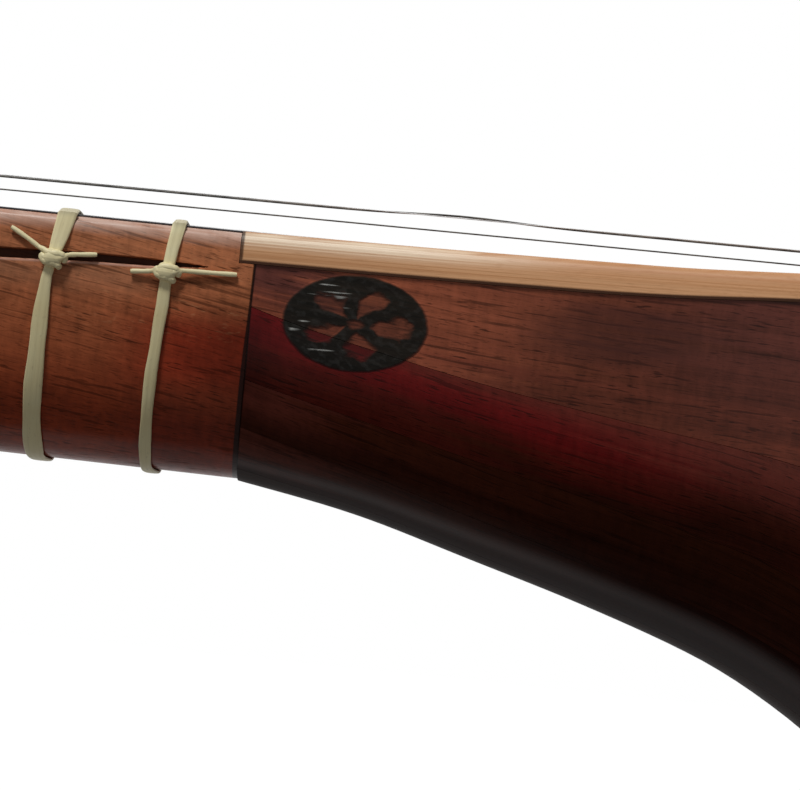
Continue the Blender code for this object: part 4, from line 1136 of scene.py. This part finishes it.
def make_stave(index, finish):
    """A bent strip: outer columns between its seams, inner ones a wall's thickness in."""
    s = bowl_stations()[:, None]
    size = bowl_size(s)
    half_seam = np.degrees(SEAM_GAP / 2 / size[0])
    first = seam_angles(index, s) + (half_seam if index > 0 else 0.0)
    last = seam_angles(index + 1, s) - (half_seam if index < STAVE_COUNT - 1 else 0.0)
    share = np.linspace(0, 1, 17)
    angle = first + (last - first) * share
    outer = section(TIP_X + s, size, rim_at(s), angle)
    inner = section(TIP_X + s, size, rim_at(s), angle[:, ::-1], WALL)
    points = np.concatenate((outer, inner), 1)
    wide = np.radians(last - first) * (size[0] + size[1]) / 2
    across = wide * (share - 0.5)
    marks = np.stack(np.broadcast_arrays(s, across, share), -1)
    mirrored = marks if index < STAVE_COUNT / 2 else marks[:, ::-1]
    marks = np.concatenate((mirrored, mirrored[:, ::-1]), 1)
    turn = np.zeros(points.shape)
    turn[..., 0] = (90 - np.abs(np.concatenate((angle, angle[:, ::-1]), 1) - 90)) / 90
    mesh = Shape().grid(points, grain=marks, turn=turn).mesh("stave")
    piece("bowl_strip_%d" % (index + 1), mesh, finish, "frame", "stave_%d" % (index + 1), 50)


def make_tail_cap(finish):
    """The plate over the staves' ends: sections drawn in along a quarter circle."""
    turn = np.linspace(0, np.pi / 2, 10)[:, None]
    x = TIP_X + CAP_AT + 0.00004 + (CAP_THICKNESS - 0.00004) * np.sin(turn)
    angle = np.linspace(0, 180, 121)[None, :]
    inset = CAP_ROUNDING * (1 - np.cos(turn))
    points = section(x, bowl_size(CAP_AT), RIM, angle, inset)
    marks = np.stack((points[..., 1] + 0.9, points[..., 2], np.zeros(points.shape[:2])), -1)
    mesh = Shape().grid(points, grain=marks, turn=np.zeros(points.shape)).mesh("plate")
    piece("tail_plate", mesh, finish, "frame", "tail_cap", 50)


def rounded(mesh, offset, segments, angle=30):
    """Round the edges of a mesh that are sharper than an angle."""
    shaped = bmesh.new()
    shaped.from_mesh(mesh)
    edges = [e for e in shaped.edges if len(e.link_faces) == 2
             and e.calc_face_angle() > math.radians(angle)]
    bmesh.ops.bevel(shaped, geom=edges, offset=offset, segments=segments, profile=0.5,
                    affect="EDGES", clamp_overlap=True)
    shaped.to_mesh(mesh)
    shaped.free()
    return mesh


def make_holder(finish):
    """The bone angle over the tail's edge, with a blind bore for each string."""
    front = TAIL_X - HOLDER_REACH
    back = TAIL_X + GAP + HOLDER_THICKNESS
    turn = np.linspace(0, np.pi / 2, 9)
    outline = [(front, TOP_Z + 0.00002), (TAIL_X + 0.00015, TOP_Z + 0.00002),
               (TAIL_X + 0.00015, TOP_Z - HOLDER_LEG), (back, TOP_Z - HOLDER_LEG)]
    curve = 0.0030
    outline += [(back - curve * (1 - math.cos(t)), TOP_Z + HOLDER_HEIGHT - curve * (1 - math.sin(t)))
                for t in turn]
    outline.append((front, TOP_Z + HOLDER_HEIGHT))
    x, z = np.array(outline).T
    y = np.array((-HOLDER_HALF_WIDTH, HOLDER_HALF_WIDTH))[:, None]
    points = np.stack(np.broadcast_arrays(x, y, z), -1)
    mesh = rounded(Shape().grid(points).mesh("holder"), 0.0007, 3)
    drills = []
    for name in STRING_NAMES:
        at = Matrix.Translation((front, BRIDGE_Y[name] * HOLDER_SPREAD, TOP_Z + STRING_AT_HOLDER))
        drills.append((STRING_RADIUS[name] + 0.00012, 2 * HOLDER_BORE_DEPTH,
                       at @ Matrix.Rotation(math.pi / 2, 4, "Y")))
    piece("tail_holder", drilled(mesh, drills), finish, "frame", "string_holder", 40)


def bridge_outline():
    """The bridge's face as (y, z): arched foot, curved flanks, and a notch under each string."""
    low = 0.00004
    lift = {y: STRING_AT_BRIDGE[n] for n, y in BRIDGE_Y.items()}
    slope = (lift[BRIDGE_Y["treble"]] - lift[BRIDGE_Y["bass"]]) / (BRIDGE_Y["treble"] - BRIDGE_Y["bass"])
    arch = np.linspace(-1, 1, 21)
    foot = [(-BRIDGE_HALF_FOOT, low)] + [(BRIDGE_ARCH_HALF * a, low + BRIDGE_ARCH_HEIGHT
                                          * math.sqrt(max(1 - a ** 4, 0.0))) for a in arch]
    foot += [(BRIDGE_HALF_FOOT, low), (BRIDGE_HALF_FOOT, low + BRIDGE_FOOT_HEIGHT)]
    top = lambda y: STRING_AT_BRIDGE["bass"] + slope * (y - BRIDGE_Y["bass"]) + 0.00035
    right = smooth_path([(BRIDGE_HALF_FOOT, low + BRIDGE_FOOT_HEIGHT), (0.0215, 0.0019),
                         (0.0175, 0.0027), (BRIDGE_HALF_TOP, top(BRIDGE_HALF_TOP))], 5)[1:]
    left = smooth_path([(-BRIDGE_HALF_TOP, top(-BRIDGE_HALF_TOP)), (-0.0175, 0.0040),
                        (-0.0215, 0.0021), (-BRIDGE_HALF_FOOT, low + BRIDGE_FOOT_HEIGHT)], 5)[:-1]
    crest = []
    for y in sorted(BRIDGE_Y.values(), reverse=True):
        name = next(n for n in STRING_NAMES if BRIDGE_Y[n] == y)
        wide = STRING_RADIUS[name] + 0.00006
        bottom = STRING_AT_BRIDGE[name] - wide
        crest += [(y + wide, top(y)), (y + wide, bottom + wide * 0.5), (y + wide * 0.5, bottom),
                  (y - wide * 0.5, bottom), (y - wide, bottom + wide * 0.5), (y - wide, top(y))]
    return np.array(foot + right.tolist() + crest + left.tolist()
                    + [(-BRIDGE_HALF_FOOT, low + BRIDGE_FOOT_HEIGHT)])


def make_bridge(finish):
    y, z = bridge_outline().T
    tallest = STRING_AT_BRIDGE["bass"]
    thin = BRIDGE_FOOT_THICKNESS + (BRIDGE_TOP_THICKNESS - BRIDGE_FOOT_THICKNESS) * z / tallest
    side = np.array((-0.5, 0.5))[:, None]
    points = np.stack(np.broadcast_arrays(BRIDGE_X + side * thin, y, TOP_Z + z), -1)
    mesh = rounded(Shape().grid(points).mesh("bridge"), 0.00012, 2)
    piece("bridge_block", mesh, finish, "bridge", "bridge", 40)


# Frets

def band_path(u):
    """The taut loop round neck and facing at u, as (y, z - TOP_Z), with its outward directions.

    For each direction n it takes the outline's furthest point p along n, the support point of
    its hull, then spreads the points evenly, closer together on the near side's upper part.
    """
    size = neck_size(np.array([[u]]))
    top = np.linspace(0, 90, 160)
    angle = np.concatenate((top, 180 - top[::-1]))[None, :]
    points = section(0.0, size, WOOD_TOP, angle)
    points = rounded_shoulder(points, size, WOOD_TOP, SHOULDER, SHOULDER_IN)[0, :, 1:]
    points[:, 1] -= TOP_Z
    edge = size[0][0, 0] - SHOULDER_IN
    outline = np.concatenate((points, [(-edge, 0.0), (edge, 0.0)]))
    turn = np.linspace(np.pi / 2, np.pi / 2 + 2 * np.pi, 721)[:-1]
    away = np.stack((np.cos(turn), np.sin(turn)), -1)
    hull = outline[np.argmax(outline @ away.T, axis=0)]
    lift = 0.00030 * ease(away[:, 1:], 0.2, 0.9)
    hull = hull + away * (GUT_OFF_WOOD + GUT_THICKNESS / 2 + lift)
    loop = np.concatenate((hull, hull[:1]))
    step = np.linalg.norm(np.diff(loop, axis=0), axis=1)
    length = np.concatenate(([0.0], np.cumsum(step)))
    fine_from = length[np.argmax(away[:, 0] < -0.01)] + 0.0075
    places = np.concatenate((np.linspace(0, fine_from, 12)[:-1],
                             np.linspace(fine_from, fine_from + 0.016, 84)[:-1],
                             np.linspace(fine_from + 0.016, length[-1], 120)[:-1]))
    closed_away = np.concatenate((away, away[:1]))
    y = np.interp(places, length, loop[:, 0])
    z = np.interp(places, length, loop[:, 1])
    n = unit(np.stack([np.interp(places, length, closed_away[:, i]) for i in (0, 1)], -1))
    return np.stack((y, z), -1), n, places


def on_side(u, x, drop, out):
    """A place over the neck's near side, from its own x, its drop and its height off the wood."""
    side = side_at(neck_size(u), drop)
    return np.stack(np.broadcast_arrays(x, -(side + out), TOP_Z - drop), -1)


def make_fret(number, u, turns, shape, finish):
    """One tied fret: the flat band, its knot of two crossed strands over a core, and two tails."""
    loop, away, places = band_path(u)
    rng = np.random.default_rng(100 + number)
    drop = -loop[:, 1]
    near = ease(-loop[:, 0], -0.002, 0.004)
    bow = np.interp(drop, *shape["bow"]) * near + shape["back"] * (1 - near)
    width = np.interp(drop, *shape["width"]) * near + turns * GUT_TURN * (1 - near)
    waist = np.exp(-((drop - shape["knot"][1]) / 0.0020) ** 2) * near
    half = width / 2
    turn = np.linspace(0, 2 * np.pi, 22, endpoint=False)
    cos, sin = np.cos(turn), np.sin(turn)
    wide = np.sign(cos) * np.abs(cos) ** 0.55
    thick = np.sign(sin) * np.abs(sin) ** 0.80 * GUT_THICKNESS / 2
    ripple = 1 + 0.05 * np.sin(places * 700 + number) * near
    x = NUT_X + u + bow[:, None] + wide * half[:, None] * ripple[:, None]
    off = thick * (1 + 0.5 * waist[:, None])
    y = loop[:, 0, None] + away[:, 0, None] * off
    z = TOP_Z + loop[:, 1, None] + away[:, 1, None] * off
    band = np.stack((x, y, z), -1)
    marks = np.stack((np.broadcast_to(places[:, None] + number, x.shape), wide * half[:, None],
                      np.zeros(x.shape)), -1)
    made = Shape().grid(band, wrap_rows=True, caps=False, grain=marks)
    middle = NUT_X + u + np.interp(shape["knot"][1], *shape["bow"]) + shape["knot"][0]
    for strand, radius in shape["strands"]:
        dx, down, out = np.array(strand).T / 1000
        path = smooth_path(on_side(u, middle + dx, shape["knot"][1] + down, out), 8)
        thin = np.interp(np.linspace(0, 1, len(path)), (0.0, 0.30, 0.50, 1.0), radius)
        thin = thin * (1 + 0.05 * np.sin(np.arange(len(path)) * 0.7 + number))
        thin[0] *= 0.85
        thin[-1] *= 0.6
        rings = tube(path, thin, 14, (0.17, 0.1, 0.98))
        rings[..., 1] = path[:, None, 1] + (rings[..., 1] - path[:, None, 1]) * STRAND_FLATNESS
        across = np.broadcast_to(np.linspace(-0.0004, 0.0004, 14), rings.shape[:2])
        length = np.broadcast_to(np.arange(len(path))[:, None] * 0.0002 + number, rings.shape[:2])
        made.grid(rings, grain=np.stack((length, across, np.zeros(rings.shape[:2])), -1))
    mesh = made.mesh("fret")
    name = "fret_%02d" % number
    piece("tied_" + name, mesh, finish, name, name, 60)


def usual_shape(number, turns, room):
    """A fret outside the photograph: a slight bow, one knot and two short tails."""
    rng = np.random.default_rng(number)
    lean = rng.uniform(-0.0005, 0.0005)
    bow = rng.uniform(-0.0010, -0.0003)
    wide = turns * GUT_TURN
    left = min(4.6, 1.7 + room[0] * 230)
    right = min(4.4, 1.7 + room[1] * 230)
    tilt = rng.uniform(-2.4, 1.0)
    dip = rng.uniform(-0.8, 1.4)
    strands = knot_strands((-left, tilt), (right, dip), rng.uniform(0.92, 1.05))
    return {"bow": ((0.0, 0.006, 0.016, 0.024, 0.030), (lean, lean + bow * 0.5, bow, bow * 0.7, 0.0)),
            "width": ((0.0, 0.0045, 0.0060, 0.0100, 0.030),
                      (wide, wide * 0.82, wide * 0.70, wide * 0.86, wide)),
            "back": 0.0, "knot": (0.0, KNOT_DROP), "strands": strands}


def knot_strands(first, second, scale):
    """Paths in mm from the knot's middle: (along, down, out of the wood), with their radii.

    Each tail runs in, swells, and wraps over the band; a third strand closes the lower side.
    """
    a = [(first[0], first[1], 0.38), (first[0] * 0.62, first[1] * 0.64, 0.50),
         (-1.90 * scale, first[1] * 0.36, 0.62), (-1.20 * scale, first[1] * 0.22 - 0.1, 0.90),
         (-0.50 * scale, -0.42, 1.08), (0.35 * scale, -0.38, 1.14), (1.00 * scale, -0.30, 0.98),
         (1.38 * scale, 0.05, 0.70), (1.25 * scale, 0.40, 0.45)]
    b = [(second[0], second[1], 0.38), (second[0] * 0.62, second[1] * 0.75, 0.50),
         (1.95 * scale, second[1] * 0.55, 0.62), (1.20 * scale, -0.08, 0.92),
         (0.50 * scale, 0.20, 1.10), (-0.35 * scale, 0.26, 1.12), (-1.05 * scale, 0.10, 0.94),
         (-1.40 * scale, -0.25, 0.66)]
    c = [(-1.25 * scale, -0.30, 0.80), (-1.18 * scale, 0.35, 0.92), (-0.55 * scale, 0.66, 1.00),
         (0.20 * scale, 0.72, 1.00), (0.70 * scale, 0.95, 0.86), (0.85 * scale, 1.10, 0.55)]
    core = [(-1.05 * scale, 0.05, 0.50), (0.0, 0.10, 0.66), (1.00 * scale, 0.10, 0.50)]
    strand = (STRAND_RADIUS, STRAND_RADIUS, KNOT_RADIUS, KNOT_RADIUS)
    wrap = (KNOT_RADIUS, KNOT_RADIUS, KNOT_RADIUS, KNOT_RADIUS * 0.9)
    return [(a, strand), (b, strand), (c, wrap), (core, (0.0009, 0.00115, 0.00115, 0.0009))]


def photographed_shapes():
    """The last two frets, placed as in the photograph."""
    left = {"bow": ((0.0, 0.0020, 0.0040, 0.0055, 0.0065, 0.0080, 0.0095, 0.0120, 0.0180, 0.0210,
                     0.0240, 0.0265, 0.0280, 0.0292),
                    (0.00032, -0.00010, -0.00044, -0.00080, -0.00112, -0.00140, -0.00151, -0.00166,
                     -0.00178, -0.00190, -0.00188, -0.00180, -0.00168, -0.00160)),
            "width": ((0.0, 0.0020, 0.0040, 0.0062, 0.0095, 0.0140, 0.0230, 0.0290),
                      (0.00245, 0.00215, 0.00178, 0.00130, 0.00148, 0.00200, 0.00225, 0.00230)),
            "back": -0.0012, "knot": (0.0, 0.00564),
            "strands": knot_strands((-5.35, -3.15), (5.20, -0.85), 1.0)}
    right = {"bow": ((0.0, 0.0015, 0.0035, 0.0058, 0.0075, 0.0100, 0.0125, 0.0152, 0.0180, 0.0220,
                      0.0265, 0.0290),
                     (0.00010, -0.00010, -0.00046, -0.00075, -0.00085, -0.00092, -0.00114, -0.00128,
                      -0.00152, -0.00164, -0.00168, -0.00160)),
             "width": ((0.0, 0.0040, 0.0060, 0.0290), (0.00165, 0.00146, 0.00148, 0.00145)),
             "back": -0.0011, "knot": (0.0, 0.00594),
             "strands": knot_strands((-4.35, 0.40), (8.35, -0.45), 1.0)}
    return {24: left, 25: right}


def make_frets(finish):
    given = photographed_shapes()
    places = [SCALE_LENGTH * (1 - 2 ** (-cents / 1200)) for cents, wide in FRET_CENTS]
    edges = [0.0] + places + [NECK_LENGTH]
    for i, (cents, wide) in enumerate(FRET_CENTS):
        turns = 4 if wide else 3
        room = (edges[i + 1] - edges[i] - 0.0025, edges[i + 2] - edges[i + 1] - 0.0025)
        shape = given.get(i + 1) or usual_shape(i + 1, turns, room)
        make_fret(i + 1, places[i], turns, shape, finish)


# Surroundings

def seen_directly(finish_node, links):
    """1 for rays from the camera, mirrors and glass, 0 for the light that falls on things."""
    path = finish_node("ShaderNodeLightPath")
    first = finish_node("ShaderNodeMath")
    first.operation = "MAXIMUM"
    links.new(path.outputs["Is Camera Ray"], first.inputs[0])
    links.new(path.outputs["Is Glossy Ray"], first.inputs[1])
    second = finish_node("ShaderNodeMath")
    second.operation = "MAXIMUM"
    links.new(first.outputs[0], second.inputs[0])
    links.new(path.outputs["Is Transmission Ray"], second.inputs[1])
    return second.outputs[0]


def make_world():
    world = bpy.data.worlds.new("white")
    world.use_nodes = True
    bpy.context.scene.world = world
    tree = world.node_tree
    seen = seen_directly(tree.nodes.new, tree.links)
    level = tree.nodes.new("ShaderNodeMapRange")
    level.inputs[3].default_value = SKY_POWER
    level.inputs[4].default_value = 1.0
    tree.links.new(seen, level.inputs[0])
    tree.nodes["Background"].inputs[0].default_value = (1, 1, 1, 1)
    tree.links.new(level.outputs[0], tree.nodes["Background"].inputs[1])


def make_floor():
    """A wide floor under the bowl that looks as white as the background and keeps the shadow."""
    size = 40.0
    mesh = bpy.data.meshes.new("floor")
    mesh.from_pydata([(-size, -size, FLOOR_Z), (size, -size, FLOOR_Z), (size, size, FLOOR_Z),
                      (-size, size, FLOOR_Z)], [], [(0, 1, 2, 3)])
    material = bpy.data.materials.new("floor")
    material.use_nodes = True
    tree = material.node_tree
    shader = tree.nodes["Principled BSDF"]
    shader.inputs["Base Color"].default_value = (FLOOR_ALBEDO, FLOOR_ALBEDO, FLOOR_ALBEDO, 1)
    shader.inputs["Roughness"].default_value = 1.0
    shader.inputs["Specular IOR Level"].default_value = 0.0
    shader.inputs["Emission Color"].default_value = (1, 1, 1, 1)
    seen = seen_directly(tree.nodes.new, tree.links)
    glow = tree.nodes.new("ShaderNodeMath")
    glow.operation = "MULTIPLY"
    glow.inputs[1].default_value = FLOOR_GLOW
    tree.links.new(seen, glow.inputs[0])
    tree.links.new(glow.outputs[0], shader.inputs["Emission Strength"])
    floor = bpy.data.objects.new("floor", mesh)
    floor.data.materials.append(material)
    bpy.context.scene.collection.objects.link(floor)


def make_lamps():
    sun = bpy.data.lights.new("key", "SUN")
    sun.energy = KEY_POWER
    sun.angle = math.radians(12)
    sun.color = (1.0, 0.985, 0.96)
    key = bpy.data.objects.new("key", sun)
    turn, up = math.radians(KEY_AZIMUTH), math.radians(KEY_ELEVATION)
    direction = Matrix.Rotation(turn, 4, "Z") @ Matrix.Rotation(math.pi / 2 - up, 4, "X")
    key.matrix_world = direction
    bpy.context.scene.collection.objects.link(key)


def make_camera():
    """The fitted camera: seen from the near side, a little from below, rolled clockwise."""
    lens = bpy.data.cameras.new("camera")
    lens.sensor_fit = "HORIZONTAL"
    lens.sensor_width = SENSOR
    lens.lens = FOCAL_PIXELS * SENSOR / FRAME_WIDTH
    lens.clip_start = 0.01
    lens.clip_end = 200.0
    camera = bpy.data.objects.new("camera", lens)
    e, r = CAMERA_ELEVATION, CAMERA_ROLL
    ahead = np.array((0.0, math.cos(e), -math.sin(e)))
    over = np.array((0.0, math.sin(e), math.cos(e)))
    right = np.array((1.0, 0.0, 0.0)) * math.cos(r) + over * math.sin(r)
    up = -np.array((1.0, 0.0, 0.0)) * math.sin(r) + over * math.cos(r)
    place = np.array(CAMERA_TARGET) - ahead * CAMERA_DISTANCE
    columns = np.stack((right, up, -ahead, place), 1)
    camera.matrix_world = Matrix(np.vstack((columns, (0, 0, 0, 1))).tolist())
    bpy.context.scene.collection.objects.link(camera)
    bpy.context.scene.camera = camera


def stave_finishes():
    """The photographed strips one by one, then three woods shared by the unseen ones."""
    first = stave_finish("bowl_first", 1.3, (0.120, 0.036, 0.028), (0.300, 0.084, 0.043),
                         (0.112, 0.032, 0.023), (0.145, 0.036, 0.021), (0.330, 0.088, 0.047),
                         marked=True)
    second = stave_finish("bowl_second", 2.9, (0.165, 0.0100, 0.0110), (0.155, 0.0070, 0.0078),
                          (0.114, 0.0215, 0.0148), (0.033, 0.0070, 0.0036), (0.062, 0.0085, 0.0056),
                          (0.030, 0.070), (0.05, 0.76), later=0.24, upper=(0.170, 0.040, 0.026),
                          marked=True)
    third = stave_finish("bowl_third", 4.7, (0.088, 0.020, 0.014), (0.043, 0.0098, 0.0046),
                         (0.031, 0.0075, 0.0031), (0.042, 0.011, 0.006))
    fourth = stave_finish("bowl_fourth", 6.1, (0.108, 0.029, 0.020), (0.040, 0.011, 0.0068),
                          (0.025, 0.007, 0.005), (0.024, 0.007, 0.005))
    dark = stave_finish("bowl_dark", 9.9, (0.030, 0.009, 0.005), (0.026, 0.008, 0.005),
                        (0.034, 0.011, 0.007), (0.022, 0.007, 0.004))
    sixth = stave_finish("bowl_sixth", 5.5, (0.150, 0.048, 0.027), (0.165, 0.052, 0.028),
                         (0.120, 0.040, 0.026), (0.070, 0.020, 0.011))
    crimson = stave_finish("bowl_crimson", 8.3, (0.125, 0.014, 0.013), (0.160, 0.026, 0.020),
                           (0.140, 0.030, 0.020), (0.060, 0.010, 0.006))
    last = stave_finish("bowl_last", 7.4, (0.200, 0.072, 0.050), (0.260, 0.082, 0.043),
                        (0.160, 0.048, 0.030), (0.180, 0.050, 0.028))
    return [(first, "stave_brown"), (second, "stave_crimson"), (third, "stave_dark"),
            (fourth, "stave_brown"), (dark, "stave_dark"), (sixth, "stave_brown"),
            (dark, "stave_dark"), (crimson, "stave_crimson"), (last, "stave_brown")], dark


def dress(node, finish):
    """Give a solid that keeps its own shape its material."""
    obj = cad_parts[node]
    obj.data.materials.clear()
    obj.data.materials.append(finish)


def main():
    make_world()
    make_floor()
    make_lamps()
    make_camera()
    make_neck(neck_finish("neck_wood", 0.9))
    make_fingerboard(facing_finish())
    make_head(head_finish())
    bone = bone_finish()
    make_head_cap(bone)
    make_nut(bone)
    make_holder(bone)
    dark_wood = plain_wood("turned_wood", (0.045, 0.016, 0.008), (0.095, 0.038, 0.019), 0.26, 0.5, 2.2)
    bronze = metal_finish("bronze_wire", (0.040, 0.038, 0.035), (0.092, 0.086, 0.077), 0.42)
    steel = metal_finish("steel_wire", (0.330, 0.330, 0.332), (0.450, 0.450, 0.455), 0.44)
    for name in STRING_NAMES:
        wire, slot = (bronze, "bronze_string") if name in ("bass", "middle") else (steel, "steel_string")
        make_peg(name, dark_wood)
        make_winding(name, wire)
        make_string(name, wire)
    make_bridge(dark_wood)
    make_soundboard(board_finish())
    strips, cap_wood = stave_finishes()
    for index, (finish, slot) in enumerate(strips):
        make_stave(index, finish)
    make_tail_cap(cap_wood)
    make_frets(gut_finish())
    inner = plain_wood("inner_wood", (0.270, 0.150, 0.075), (0.420, 0.260, 0.150), 0.55, 0.3, 4.4)
    dress("neck_block", inner)
    dress("tail_block", inner)
    bpy.context.scene.view_settings.view_transform = "Standard"


main()
